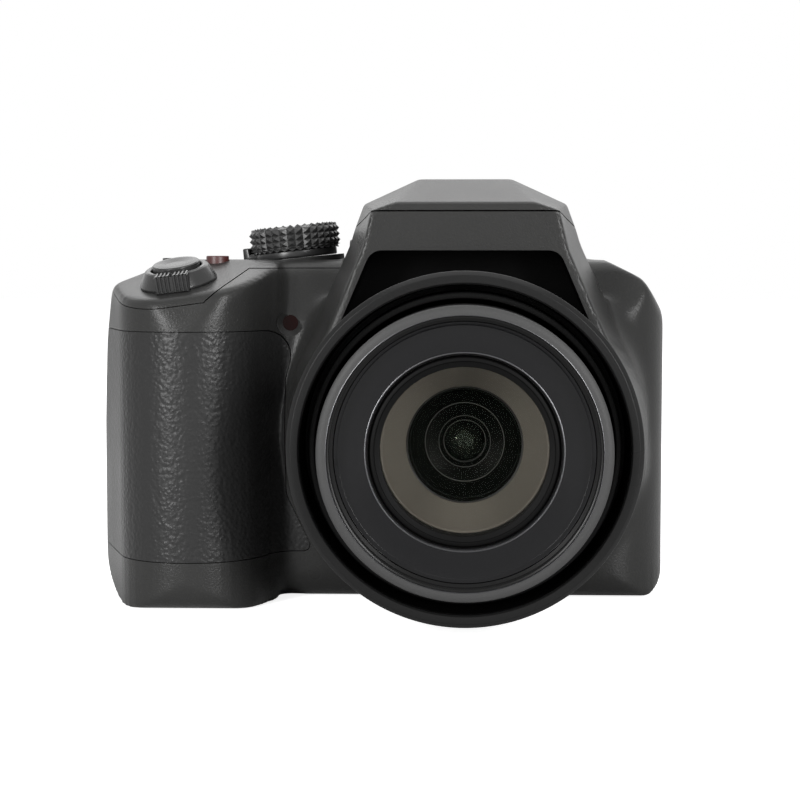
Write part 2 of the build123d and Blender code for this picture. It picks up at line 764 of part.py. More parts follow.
def zoom_lever():
    """Sprung ring round the shutter button with a ribbed finger tab at the front."""
    low = (Align.CENTER, Align.CENTER, Align.MIN)
    ring = Pos(0, 0, DIAL_GAP) * Cone(LEVER_BASE_RADIUS, LEVER_TOP_RADIUS, LEVER_HEIGHT, align=low)
    tab = Pos(0, -LEVER_TAB_REACH, DIAL_GAP) * Box(
        LEVER_TAB_WIDTH, LEVER_TAB_REACH - SHUTTER_RADIUS, LEVER_HEIGHT + DIAL_STUD,
        align=(Align.CENTER, Align.MIN, Align.MIN))
    pitch = LEVER_TAB_WIDTH / LEVER_TAB_RIBS
    ribs = []
    for step in range(LEVER_TAB_RIBS):
        x = pitch * (step + 1 / 2) - LEVER_TAB_WIDTH / 2
        ribs.append(Pos(x, -LEVER_TAB_REACH, DIAL_GAP) * Cylinder(pitch / 3, LEVER_HEIGHT, align=low))
    tab += ribs
    well = disc(SHUTTER_RADIUS + FACE_GAP, DIAL_GAP + LEVER_FLOOR, LEVER_HEIGHT + OVERRUN)
    hole = disc(SHUTTER_STEM + SLIDE_GAP, -OVERRUN, OVERRUN)
    return shutter_frame() * (ring + tab - well - hole)


def small_button(x, y, top, gap=0):
    """A round button that goes down through the deck."""
    low = DECK_TOP - BUTTON_STEM_LENGTH - gap
    cap = rod_z(x, y, low, top + SMALL_BUTTON_PROUD + gap, SMALL_BUTTON_RADIUS + gap)
    base = DECK_TOP - BUTTON_STEM_LENGTH - SMALL_BUTTON_FLANGE - KEY_FLANGE_GAP
    flange = rod_z(x, y, base, base + SMALL_BUTTON_FLANGE, SMALL_BUTTON_RADIUS + KEY_FLANGE)
    stem = rod_z(x, y, base, DECK_TOP, SMALL_BUTTON_RADIUS)
    return cap if gap else cap + flange + stem


def control_deck(shell):
    """Top plate over the grip, cut for its controls, with a raised seat for the mode dial."""
    deck = (shell & deck_zone()) + dial_seat()
    tab_corner = sqrt(POWER_TAB_REACH**2 + (POWER_TAB_WIDTH / 2) ** 2)
    deck -= dial_frame() * disc(tab_corner + FACE_GAP, 0, DIAL_HEIGHT + OVERRUN)
    deck -= dial_frame() * disc(DIAL_SPINDLE + SLIDE_GAP, -OVERRUN, OVERRUN)
    deck -= shutter_frame() * disc(SHUTTER_STEM + SLIDE_GAP, -OVERRUN, OVERRUN)
    deck -= shutter_frame() * disc(LEVER_TAB_REACH + FACE_GAP, 0, LEVER_HEIGHT + OVERRUN)
    deck -= small_button(RECORD_X, RECORD_Y, DECK_TOP, FACE_GAP)
    deck -= small_button(FUNCTION_X, FUNCTION_Y, FUNCTION_TOP, FACE_GAP)
    return deck


def axis_rod(front, rear, radius):
    """A round bar on the lens's axis, between two distances ahead of the tripod socket."""
    return rod_y(0, LENS_HEIGHT, -front, -rear, radius)


def axis_tube(front, rear, radius, bore):
    """A tube on the lens's axis."""
    return axis_rod(front, rear, radius) - axis_rod(front + OVERRUN, rear - OVERRUN, bore)


def stage_radii():
    """Outer radius of the cam tube and of the outer zoom stage, each clear of what it runs in."""
    cam = BARREL_BORE - RUNNING_GAP
    outer_stage = cam - CAM_WALL - RUNNING_GAP
    return cam, outer_stage


def fixed_barrel():
    """Fixed lens barrel with its rear flange and the narrow tail that carries the focus group."""
    barrel = axis_tube(BARREL_FRONT, BARREL_REAR, BARREL_RADIUS, BARREL_BORE)
    flange_rear = BARREL_REAR - LENS_FLANGE_THICKNESS
    flange = block(
        -LENS_FLANGE_WIDTH / 2,
        LENS_FLANGE_WIDTH / 2,
        -BARREL_REAR,
        -flange_rear,
        LENS_HEIGHT - LENS_FLANGE_HEIGHT / 2,
        LENS_HEIGHT + LENS_FLANGE_HEIGHT / 2,
    )
    tail = axis_rod(flange_rear, LENS_TAIL_REAR, LENS_TAIL_RADIUS)
    bore = axis_rod(BARREL_REAR + OVERRUN, LENS_TAIL_REAR - OVERRUN, LENS_TAIL_BORE)
    return barrel + flange + tail - bore


def outer_ring():
    """Trim ring on the front of the fixed barrel, with a lip over its end and a small flat below."""
    rear = RING_FRONT - RING_LENGTH
    ring = axis_rod(RING_FRONT, rear, RING_RADIUS)
    ring = chamfer(ring.edges().filter_by(GeomType.CIRCLE).sort_by(Axis.Y)[0], RING_CHAMFER)
    ring -= axis_rod(RING_FRONT + OVERRUN, rear - OVERRUN, BARREL_BORE)
    ring -= axis_rod(BARREL_FRONT, rear - OVERRUN, BARREL_RADIUS)
    return ring


def cam_tube():
    """Tube that turns inside the fixed barrel, with three slanting slots that drive the zoom stages."""
    cam, _ = stage_radii()
    tube = axis_tube(CAM_FRONT, CAM_REAR, cam, cam - CAM_WALL)
    length = CAM_FRONT - CAM_REAR
    for turn in (0, 120, 240):
        slot = Pos(0, 0, cam) * Rot(0, 0, CAM_SLOT_SLANT) * Box(CAM_SLOT_WIDTH, length / 2, CAM_WALL * 4)
        tube -= Pos(0, -(CAM_FRONT + CAM_REAR) / 2, LENS_HEIGHT) * Rot(0, turn, 0) * slot
    return tube


def outer_zoom_barrel():
    """First stage of the zoom, which slides in the cam tube."""
    _, outer_stage = stage_radii()
    return axis_tube(OUTER_STAGE_FRONT, OUTER_STAGE_REAR, outer_stage, outer_stage - OUTER_STAGE_WALL)


def inner_zoom_barrel():
    """Second stage of the zoom, threaded for filters at the front, with a guide band at its rear."""
    bore = RIM_RADIUS - INNER_STAGE_WALL
    _, outer_stage = stage_radii()
    guide = outer_stage - OUTER_STAGE_WALL - RUNNING_GAP
    tube = axis_rod(RIM_FRONT, INNER_STAGE_REAR, RIM_RADIUS)
    tube += axis_rod(INNER_STAGE_REAR + INNER_STAGE_GUIDE, INNER_STAGE_REAR, guide)
    thread_rear = RIM_FRONT - FILTER_THREAD_LENGTH
    tube -= axis_rod(RIM_FRONT + OVERRUN, thread_rear, FILTER_THREAD_RADIUS)
    tube -= axis_rod(RIM_FRONT, INNER_STAGE_REAR - OVERRUN, FILTER_THREAD_RADIUS - NAME_RING_STEP)
    seat = thread_rear - NAME_RING_THICKNESS
    tube -= axis_rod(seat, INNER_STAGE_REAR - OVERRUN, bore)
    cell_rear = seat - FRONT_GLASS_EDGE - GLASS_SEAT
    cell = axis_rod(seat, cell_rear, bore + INNER_STAGE_WALL / 2)
    cell -= axis_rod(seat, seat - FRONT_GLASS_EDGE, FRONT_GLASS_RADIUS)
    return tube + cell - axis_rod(seat + OVERRUN, cell_rear - OVERRUN, FRONT_GLASS_RADIUS - GLASS_SEAT)


def name_ring():
    """Plate that keeps the front glass in, bevelled towards the filter thread."""
    front = RIM_FRONT - FILTER_THREAD_LENGTH
    rear = front - NAME_RING_THICKNESS
    seat_radius = FILTER_THREAD_RADIUS - NAME_RING_STEP
    plate = axis_rod(front, rear, seat_radius - SLIDE_GAP)
    plate -= axis_rod(front + OVERRUN, rear - OVERRUN, NAME_RING_BORE)
    cone = Pos(0, -front, LENS_HEIGHT) * Rot(-90, 0, 0) * Cone(
        seat_radius, seat_radius - NAME_RING_BEVEL, NAME_RING_BEVEL,
        align=(Align.CENTER, Align.CENTER, Align.MIN))
    return plate - cone


def lens_glass(front, radius, edge, crown):
    """A lens with a rounded front and a flat back."""
    sphere_radius = (radius**2 + crown**2) / (2 * crown)
    ball = Pos(0, -front + sphere_radius, LENS_HEIGHT) * Sphere(sphere_radius)
    return axis_rod(front, front - edge, radius) & ball


def front_element():
    """Front glass, seated in the inner stage behind the name ring."""
    seat = RIM_FRONT - FILTER_THREAD_LENGTH - NAME_RING_THICKNESS
    edge = FRONT_GLASS_EDGE + FRONT_GLASS_CROWN
    return lens_glass(seat + FRONT_GLASS_CROWN, FRONT_GLASS_RADIUS, edge, FRONT_GLASS_CROWN)


def second_group():
    """Second lens group: a glass in a carrier that slides inside the inner stage."""
    bore = RIM_RADIUS - INNER_STAGE_WALL - RUNNING_GAP
    rear = SECOND_GROUP_FRONT - SECOND_GROUP_LENGTH
    middle = (SECOND_GROUP_FRONT + rear) / 2
    carrier = axis_tube(SECOND_GROUP_FRONT, rear, bore, bore - GROUP_RIM)
    web = axis_rod(middle + GROUP_RIM / 2, middle - GROUP_RIM / 2, bore)
    glass = lens_glass(SECOND_GROUP_FRONT, SECOND_GLASS_RADIUS, SECOND_GROUP_LENGTH, FRONT_GLASS_CROWN)
    return carrier + web + glass


def iris_unit():
    """Iris and shutter: a ring with overlapping blades round the opening."""
    radius = RIM_RADIUS - INNER_STAGE_WALL - SLIDE_GAP
    rear = IRIS_FRONT - IRIS_LENGTH
    unit = axis_tube(IRIS_FRONT, rear, radius, radius - GROUP_RIM)
    middle = (IRIS_FRONT + rear) / 2
    blades = axis_rod(middle + GROUP_RIM / 2, middle - GROUP_RIM / 2, radius)
    hexagon = Pos(0, LENS_HEIGHT, 0) * RegularPolygon(IRIS_OPENING, IRIS_BLADES)
    opening = Plane.XZ.offset(middle - OVERRUN) * hexagon
    return unit + blades - extrude(opening, amount=2 * OVERRUN, dir=(0, -1, 0))


def rail_places():
    """The two rails that carry the focus group, above and below the axis."""
    return ((0, LENS_HEIGHT + FOCUS_RAIL_SPREAD), (0, LENS_HEIGHT - FOCUS_RAIL_SPREAD))


def focus_group():
    """Focus lens in a carrier that slides on two rails."""
    rear = FOCUS_GROUP_FRONT - FOCUS_GROUP_LENGTH
    carrier = axis_rod(FOCUS_GROUP_FRONT - GROUP_RIM / 2, rear, FOCUS_CARRIER_RADIUS)
    glass = lens_glass(FOCUS_GROUP_FRONT, FOCUS_GLASS_RADIUS, FOCUS_GROUP_LENGTH, FOCUS_RAIL_RADIUS)
    for x, z in rail_places():
        carrier -= rod_y(x, z, -FOCUS_GROUP_FRONT - OVERRUN, -rear + OVERRUN, FOCUS_RAIL_RADIUS + SLIDE_GAP)
    return carrier + glass


def sensor_unit():
    """Image sensor on its plate, closing the lens's tail, with the focus rails."""
    front = -LENS_TAIL_REAR
    unit = block(
        -SENSOR_WIDTH / 2,
        SENSOR_WIDTH / 2,
        front,
        front + SENSOR_THICKNESS,
        LENS_HEIGHT - SENSOR_HEIGHT / 2,
        LENS_HEIGHT + SENSOR_HEIGHT / 2,
    )
    unit += axis_rod(-front + SLIDE_GAP, -front - SENSOR_THICKNESS, LENS_TAIL_BORE - SLIDE_GAP)
    unit += block(
        -SENSOR_CHIP_WIDTH / 2,
        SENSOR_CHIP_WIDTH / 2,
        front - SENSOR_CHIP_THICKNESS,
        front,
        LENS_HEIGHT - SENSOR_CHIP_HEIGHT / 2,
        LENS_HEIGHT + SENSOR_CHIP_HEIGHT / 2,
    )
    for x, z in rail_places():
        unit += rod_y(x, z, -FOCUS_GROUP_FRONT - FOCUS_TRAVEL - GROUP_RIM, front, FOCUS_RAIL_RADIUS)
    return unit


def zoom_motor():
    """Zoom motor beside the barrel, on a bracket that bolts to the lens's flange."""
    rear = -MOTOR_FRONT + MOTOR_LENGTH
    motor = rod_y(MOTOR_X, MOTOR_Z, -MOTOR_FRONT, rear, MOTOR_RADIUS)
    return motor + block(
        MOTOR_X - MOTOR_BRACKET_REACH,
        MOTOR_X + MOTOR_RADIUS,
        rear,
        -BARREL_REAR,
        MOTOR_Z - MOTOR_RADIUS,
        MOTOR_Z + MOTOR_RADIUS,
    )


def flash_cover(outside):
    """Pop-up part of the hump, with two arms down to its hinge."""
    top = outside & flash_zone()
    top -= hood_form(HOOD_WALL)
    top -= hump_form(WALL)
    top -= block(-REACH, REACH, FLASH_HINGE, REACH, 0, FLASH_HINGE_HEIGHT)
    for side in (-1, 1):
        x_from = side * FLASH_ARM_PLACE - FLASH_ARM_WIDTH / 2
        x_to = x_from + FLASH_ARM_WIDTH
        arm = rod_x(FLASH_HINGE, FLASH_HINGE_HEIGHT, x_from, x_to, FLASH_KNUCKLE)
        arm_top = HUMP_TOP - WALL / 2
        arm += block(x_from, x_to, FLASH_HINGE - FLASH_KNUCKLE, FLASH_HINGE, FLASH_HINGE_HEIGHT, arm_top)
        top += arm & outside
    return top - rod_x(FLASH_HINGE, FLASH_HINGE_HEIGHT, -REACH / 2, REACH / 2, FLASH_PIN_RADIUS + SLIDE_GAP)


def flash_head():
    """Lamp housing under the pop-up cover, with a hollow reflector behind its window."""
    rear = -FLASH_HEAD_FRONT + FLASH_HEAD_DEPTH
    half = FLASH_HEAD_WIDTH / 2
    body = block(-half, half, -FLASH_HEAD_FRONT, rear, FLASH_HEAD_BASE, HUMP_TOP) & hood_form(HOOD_WALL)
    body += block(-half, half, -HOOD_ROOT, rear, FLASH_HEAD_BASE, HUMP_TOP) & hump_form(WALL)
    body -= flash_window(FLASH_WINDOW_THICKNESS)
    corners = (
        (-FLASH_HEAD_FRONT, FLASH_HEAD_BASE + FLASH_WINDOW_MARGIN),
        (-FLASH_HEAD_FRONT, FLASH_HEAD_TOP - FLASH_WINDOW_MARGIN),
        (-FLASH_HEAD_FRONT + FLASH_HEAD_DEPTH / 2, (FLASH_HEAD_BASE + FLASH_HEAD_TOP) / 2 + GROUP_RIM),
        (-FLASH_HEAD_FRONT + FLASH_HEAD_DEPTH / 2, (FLASH_HEAD_BASE + FLASH_HEAD_TOP) / 2 - GROUP_RIM),
    )
    mouth = half - 2 * FLASH_WINDOW_MARGIN
    return body - prism_x(outline(corners, 0), -mouth, mouth)


def flash_window(thickness=0):
    """Clear plate in front of the reflector, or the seat cut for it."""
    half = FLASH_HEAD_WIDTH / 2 - FLASH_WINDOW_MARGIN
    spare = OVERRUN if thickness else 0
    return block(
        -half,
        half,
        -FLASH_HEAD_FRONT - spare,
        -FLASH_HEAD_FRONT + FLASH_WINDOW_THICKNESS,
        FLASH_HEAD_BASE + FLASH_WINDOW_MARGIN / 2,
        FLASH_HEAD_TOP - FLASH_WINDOW_MARGIN / 2,
    )


def flash_release_button():
    """Small button in the flank of the hump that lets the flash up."""
    return rod_x(
        -FLASH_RELEASE_PLACE,
        FLASH_RELEASE_HEIGHT,
        -HUMP_FLANK / 2 - FLASH_RELEASE_PROUD,
        -HUMP_FLANK / 2 - FLASH_RELEASE_PROUD + FLASH_RELEASE_LENGTH,
        FLASH_RELEASE_RADIUS,
    )


def viewfinder_module():
    """Electronic viewfinder's housing, with the ears that hold the flash's hinge pin."""
    half = FINDER_WIDTH / 2
    rear = HUMP_REAR - WALL
    centre = FINDER_BASE + FINDER_HEIGHT / 2
    module = block(-half, half, FINDER_FRONT, rear, FINDER_BASE, FINDER_BASE + FINDER_HEIGHT)
    module &= hump_form(WALL)
    module -= block(
        -EYEPIECE_WIDTH / 2,
        EYEPIECE_WIDTH / 2,
        FINDER_FRONT + WALL,
        rear + OVERRUN,
        centre - EYEPIECE_HEIGHT / 2,
        centre + EYEPIECE_HEIGHT / 2,
    )
    for side in (-1, 1):
        x_from = side * FLASH_EAR_PLACE - FLASH_ARM_WIDTH / 2
        x_to = x_from + FLASH_ARM_WIDTH
        front = FLASH_HINGE - FLASH_KNUCKLE
        rear = FLASH_HINGE + FLASH_PIN_RADIUS
        foot = block(x_from, x_to, front, FINDER_FRONT, FINDER_BASE, FLASH_EAR_FOOT)
        upright = block(x_from, x_to, front, rear, FINDER_BASE, FLASH_HINGE_HEIGHT)
        eye = rod_x(FLASH_HINGE, FLASH_HINGE_HEIGHT, x_from, x_to, FLASH_EYE_RADIUS)
        module += foot + upright + eye
    return module - rod_x(FLASH_HINGE, FLASH_HINGE_HEIGHT, -REACH / 2, REACH / 2, FLASH_PIN_RADIUS)


def eyepiece_lens():
    """Glass of the viewfinder, in the rear opening of its housing."""
    centre = FINDER_BASE + FINDER_HEIGHT / 2
    rear = HUMP_REAR - SLIDE_GAP
    face = RectangleRounded(EYEPIECE_WIDTH, EYEPIECE_HEIGHT, SCREEN_CORNER)
    return prism_y(Pos(0, centre) * face, rear - EYEPIECE_THICKNESS, rear)


def eyecup():
    """Rubber eyecup, a rounded frame round the eyepiece with a sloping mouth."""
    centre = EYECUP_BASE + EYECUP_HEIGHT / 2
    outer = Pos(0, centre) * RectangleRounded(EYECUP_WIDTH, EYECUP_HEIGHT, EYECUP_CORNER)
    cup = prism_y(outer, HUMP_REAR, EYECUP_REACH)
    cup = fillet(cup.edges().group_by(Axis.Y)[-1], EYECUP_ROUND)
    finder_centre = FINDER_BASE + FINDER_HEIGHT / 2
    small = Plane.XZ.offset(-HUMP_REAR) * Pos(0, finder_centre) * RectangleRounded(
        EYEPIECE_WIDTH, EYEPIECE_HEIGHT, SCREEN_CORNER)
    large = Plane.XZ.offset(-EYECUP_REACH) * Pos(0, finder_centre) * RectangleRounded(
        EYEPIECE_WIDTH + EYECUP_MOUTH, EYEPIECE_HEIGHT + EYECUP_MOUTH, EYECUP_MOUTH)
    return cup - loft([small, large])


def diopter_dial():
    """Grooved wheel in the flank of the hump that focuses the viewfinder."""
    outer = HUMP_FLANK / 2 + DIOPTER_PROUD
    wheel = rod_x(DIOPTER_Y, DIOPTER_HEIGHT, outer - DIOPTER_THICKNESS, outer, DIOPTER_RADIUS)
    grooves = []
    for step in range(DIOPTER_GROOVES):
        angle = 2 * pi * step / DIOPTER_GROOVES
        y = DIOPTER_Y + DIOPTER_RADIUS * cos(angle)
        z = DIOPTER_HEIGHT + DIOPTER_RADIUS * sin(angle)
        grooves.append(rod_x(y, z, outer - DIOPTER_THICKNESS - OVERRUN, outer + OVERRUN, DIOPTER_GROOVE))
    axle_from = outer - DIOPTER_THICKNESS - DIOPTER_AXLE_LENGTH
    axle = rod_x(DIOPTER_Y, DIOPTER_HEIGHT, axle_from, outer - DIOPTER_THICKNESS, DIOPTER_AXLE)
    return wheel - grooves + axle


def rear_dial():
    """Thumb wheel lying flat in the back, milled round its edge, on an upright axle."""
    base = REAR_DIAL_Z - REAR_DIAL_THICKNESS / 2
    wheel = rod_z(REAR_DIAL_X, REAR_DIAL_Y, base, base + REAR_DIAL_THICKNESS, REAR_DIAL_RADIUS)
    grooves = []
    for step in range(REAR_DIAL_TEETH):
        angle = 2 * pi * step / REAR_DIAL_TEETH
        x = REAR_DIAL_X + REAR_DIAL_RADIUS * cos(angle)
        y = REAR_DIAL_Y + REAR_DIAL_RADIUS * sin(angle)
        grooves.append(rod_z(x, y, base - OVERRUN, base + REAR_DIAL_THICKNESS + OVERRUN, DIOPTER_GROOVE))
    reach = REAR_DIAL_THICKNESS / 2 + FACE_GAP + REAR_BRACKET
    axle = rod_z(REAR_DIAL_X, REAR_DIAL_Y, REAR_DIAL_Z - reach, REAR_DIAL_Z + reach, REAR_DIAL_AXLE)
    return wheel - grooves + axle


def rear_dial_bracket():
    """Two plates of the rear cover that hold the thumb wheel's axle."""
    gap = REAR_DIAL_THICKNESS / 2 + FACE_GAP
    plates = None
    for z in (REAR_DIAL_Z - gap - REAR_BRACKET, REAR_DIAL_Z + gap):
        plate = block(
            REAR_DIAL_X - REAR_DIAL_RADIUS / 2,
            REAR_DIAL_X + REAR_DIAL_RADIUS / 2,
            REAR_DIAL_Y - 2 * REAR_DIAL_AXLE,
            BODY_REAR - WALL / 2,
            z,
            z + REAR_BRACKET,
        )
        plates = plate if plates is None else plates + plate
    return plates


def rear_dial_well():
    """The slot in the back that the thumb wheel turns in."""
    gap = REAR_DIAL_THICKNESS / 2 + FACE_GAP
    radius = REAR_DIAL_RADIUS + FACE_GAP
    well = rod_z(REAR_DIAL_X, REAR_DIAL_Y, REAR_DIAL_Z - gap, REAR_DIAL_Z + gap, radius)
    reach = gap + OVERRUN
    axle = REAR_DIAL_AXLE + SLIDE_GAP
    return well + rod_z(REAR_DIAL_X, REAR_DIAL_Y, REAR_DIAL_Z - reach, REAR_DIAL_Z + reach, axle)


def screen_face(margin=0):
    """Outline of the screen, drawn in by a margin."""
    face = RectangleRounded(SCREEN_WIDTH - 2 * margin, SCREEN_HEIGHT - 2 * margin, SCREEN_CORNER)
    return Pos(SCREEN_X, SCREEN_Z) * face


def screen_window():
    """Clear window over the screen, level with the back."""
    return prism_y(screen_face(), BODY_REAR - SCREEN_GLASS, BODY_REAR)


def screen_panel():
    """Display panel, held against the inside of the back."""
    rear = BODY_REAR - WALL
    panel = prism_y(screen_face(SCREEN_LEDGE / 2), rear - PANEL_THICKNESS, rear)
    return panel + prism_y(screen_face(SCREEN_LEDGE + FACE_GAP), rear, BODY_REAR - SCREEN_GLASS)


def holder_box():
    """Corners of the battery's chamber: X, Y and Z, each from and to."""
    spare = HOLDER_GAP + HOLDER_WALL
    return (
        BATTERY_X - BATTERY_WIDTH / 2 - spare,
        BATTERY_X + BATTERY_WIDTH / 2 + spare,
        -BATTERY_FRONT - spare,
        -BATTERY_FRONT + BATTERY_DEPTH + spare,
        BATTERY_BASE - HOLDER_WALL,
        BATTERY_BASE + BATTERY_HEIGHT + spare,
    )


def battery():
    """Rechargeable pack, with three contact strips sunk in its top."""
    face = Pos(BATTERY_X, -BATTERY_FRONT + BATTERY_DEPTH / 2) * RectangleRounded(
        BATTERY_WIDTH, BATTERY_DEPTH, BATTERY_CORNER)
    pack = prism_z(face, BATTERY_BASE, BATTERY_BASE + BATTERY_HEIGHT)
    top = BATTERY_BASE + BATTERY_HEIGHT
    for step in (-1, 0, 1):
        x = BATTERY_X + step * BATTERY_CORNER
        y = -BATTERY_FRONT + BATTERY_CORNER
        pack -= block(x, x + BATTERY_CORNER / 2, y, y + BATTERY_CORNER, top - HOLDER_GAP, top + OVERRUN)
    return pack


def card_box():
    """Corners of the memory card: X, Y and Z, each from and to."""
    rear = holder_box()[3]
    return (
        BATTERY_X - CARD_WIDTH / 2 + CARD_SLOT_WALL,
        BATTERY_X + CARD_WIDTH / 2 - CARD_SLOT_WALL,
        rear + SLIDE_GAP,
        rear + SLIDE_GAP + CARD_THICKNESS,
        BATTERY_BASE,
        BATTERY_BASE + CARD_HEIGHT,
    )


def battery_holder():
    """Chamber for the battery and, behind it, the slot for the card, both open below."""
    x_from, x_to, y_from, y_to, z_from, z_to = holder_box()
    holder = block(x_from, x_to, y_from, y_to + CARD_THICKNESS + CARD_SLOT_WALL + 2 * SLIDE_GAP, z_from, z_to)
    holder -= block(
        x_from + HOLDER_WALL,
        x_to - HOLDER_WALL,
        y_from + HOLDER_WALL,
        y_to - HOLDER_WALL,
        z_from - OVERRUN,
        z_to - HOLDER_WALL,
    )
    card = card_box()
    return holder - block(
        card[0] - SLIDE_GAP,
        card[1] + SLIDE_GAP,
        card[2] - SLIDE_GAP,
        card[3] + SLIDE_GAP,
        z_from - OVERRUN,
        card[5] + SLIDE_GAP,
    )


def memory_card():
    """Memory card with its cut corner."""
    card = block(*card_box())
    x_from, _, y_from, y_to, _, z_to = card_box()
    corner = Pos(x_from, z_to) * Rot(0, 0, 45) * Rectangle(2 * CARD_CUT, 2 * CARD_CUT)
    corner = Plane.XZ.offset(-y_to - OVERRUN) * corner
    return card - extrude(corner, amount=CARD_THICKNESS + 2 * OVERRUN, dir=(0, -1, 0))


def door_box(gap=0):
    """Corners of the battery door's plate, grown by a gap in X and Y."""
    x_from, x_to, y_from, y_to, _, _ = holder_box()
    return (
        x_from - gap,
        x_to + DOOR_MARGIN + gap,
        y_from - gap,
        y_to + CARD_THICKNESS + CARD_SLOT_WALL + gap,
    )


def door_hinge():
    """X and Z of the battery door's hinge."""
    return door_box()[1] + DOOR_KNUCKLE / 2, DOOR_RAISE + DOOR_KNUCKLE


def latch_box(spare=0):
    """The battery door's latch, or the pocket that it slides in."""
    x_from, _, y_from, y_to = door_box()
    centre = (y_from + y_to) / 2
    raise_up = DOOR_RAISE - LATCH_PROUD
    return block(
        x_from + LATCH_INSET - spare,
        x_from + LATCH_INSET + LATCH_LENGTH + spare + (LATCH_TRAVEL if spare else 0),
        centre - LATCH_WIDTH / 2 - spare,
        centre + LATCH_WIDTH / 2 + spare,
        raise_up - (OVERRUN if spare else 0),
        DOOR_RAISE + DOOR_THICKNESS / 2,
    )


def battery_door(gap=0):
    """Door over the battery and the card, hinged along its inner side, or the opening for it."""
    x_from, x_to, y_from, y_to = door_box(gap)
    hinge_x, hinge_z = door_hinge()
    top = OVERRUN if gap else DOOR_RAISE + DOOR_THICKNESS
    base = -OVERRUN if gap else DOOR_RAISE
    door = block(x_from, x_to, y_from, y_to, base, top)
    door += rod_y(hinge_x, hinge_z, y_from, y_to, DOOR_KNUCKLE + gap)
    if gap:
        return door + block(hinge_x, hinge_x + DOOR_KNUCKLE + 2 * gap, y_from, y_to, base, hinge_z)
    door -= rod_y(hinge_x, hinge_z, y_from - OVERRUN, y_to + OVERRUN, DOOR_PIN + SLIDE_GAP)
    return door - latch_box(SLIDE_GAP)


def terminal_box(gap=0):
    """Corners of the socket door in Y and Z, grown by a gap."""
    return (
        TERMINAL_Y - TERMINAL_WIDTH / 2 - gap,
        TERMINAL_Y + TERMINAL_WIDTH / 2 + gap,
        TERMINAL_Z - TERMINAL_HEIGHT / 2 - gap,
        TERMINAL_Z + TERMINAL_HEIGHT / 2 + gap,
    )


def terminal_door(gap=0):
    """Door over the sockets in the plain side, hinged at its front edge, or the recess for it."""
    y_from, y_to, z_from, z_to = terminal_box(gap)
    inner = PLAIN_SIDE - TERMINAL_DOOR - gap
    outer = PLAIN_SIDE + (OVERRUN if gap else 0)
    knuckle = TERMINAL_DOOR / 2
    hinge_x = PLAIN_SIDE - knuckle
    hinge_y = TERMINAL_Y - TERMINAL_WIDTH / 2
    door = block(inner, outer, y_from, y_to, z_from, z_to)
    door += rod_z(hinge_x, hinge_y, z_from, z_to, knuckle + gap)
    if gap:
        return door + block(hinge_x, outer, hinge_y - knuckle - 2 * gap, hinge_y, z_from, z_to)
    return door - rod_z(hinge_x, hinge_y, z_from - OVERRUN, z_to + OVERRUN, TERMINAL_PIN + SLIDE_GAP)


def hinge_pins():
    """The pins of the flash, the battery door and the socket door."""
    _, _, y_from, y_to = door_box()
    hinge_x, hinge_z = door_hinge()
    _, _, z_from, z_to = terminal_box()
    return [
        rod_x(FLASH_HINGE, FLASH_HINGE_HEIGHT, -FLASH_PIN_REACH, FLASH_PIN_REACH, FLASH_PIN_RADIUS),
        rod_y(hinge_x, hinge_z, y_from - DOOR_PIN_REACH, y_to + DOOR_PIN_REACH, DOOR_PIN),
        rod_z(
            PLAIN_SIDE - TERMINAL_DOOR / 2,
            TERMINAL_Y - TERMINAL_WIDTH / 2,
            z_from - DOOR_PIN_REACH,
            z_to + DOOR_PIN_REACH,
            TERMINAL_PIN,
        ),
    ]


def socket_places():
    """Height of each socket's middle."""
    return TERMINAL_Z - SOCKET_SPACING / 2, TERMINAL_Z + SOCKET_SPACING / 2


def sockets():
    """Data and picture sockets behind the side door, each a small open shell."""
    outer = PLAIN_SIDE - WALL
    shells = []
    for z in socket_places():
        half_width, half_height = SOCKET_WIDTH / 2, SOCKET_HEIGHT / 2
        shell = block(
            outer - SOCKET_DEPTH,
            outer,
            TERMINAL_Y - half_width,
            TERMINAL_Y + half_width,
            z - half_height,
            z + half_height,
        )
        shell -= block(
            outer - SOCKET_DEPTH + SOCKET_WALL,
            outer + OVERRUN,
            TERMINAL_Y - half_width + SOCKET_WALL,
            TERMINAL_Y + half_width - SOCKET_WALL,
            z - half_height + SOCKET_WALL,
            z + half_height - SOCKET_WALL,
        )
        shells.append(shell)
    return shells


def socket_holes():
    """Openings through the wall in front of the sockets."""
    holes = None
    for z in socket_places():
        hole = block(
            PLAIN_SIDE - WALL - SOCKET_WALL,
            PLAIN_SIDE,
            TERMINAL_Y - SOCKET_WIDTH / 2 + SOCKET_WALL,
            TERMINAL_Y + SOCKET_WIDTH / 2 - SOCKET_WALL,
            z - SOCKET_HEIGHT / 2 + SOCKET_WALL,
            z + SOCKET_HEIGHT / 2 - SOCKET_WALL,
        )
        holes = hole if holes is None else holes + hole
    return holes


def chassis():
    """Metal plate behind the sensor, with standoffs for the main board."""
    front = -LENS_TAIL_REAR + SENSOR_THICKNESS
    plate = block(CHASSIS_LEFT, CHASSIS_RIGHT, front, front + CHASSIS_PLATE, CHASSIS_BASE, CHASSIS_TOP)
    for x, z in standoff_places():
        plate += rod_y(x, z, front, front + CHASSIS_PLATE + STANDOFF, STANDOFF_RADIUS)
    return plate


def standoff_places():
    """Corners of the main board where the standoffs stand."""
    inset = BOARD_MARGIN + STANDOFF_RADIUS
    return (
        (CHASSIS_LEFT + inset, CHASSIS_BASE + inset),
        (CHASSIS_RIGHT - inset, CHASSIS_BASE + inset),
        (CHASSIS_LEFT + inset, CHASSIS_TOP - inset),
        (CHASSIS_RIGHT - inset, CHASSIS_TOP - inset),
    )


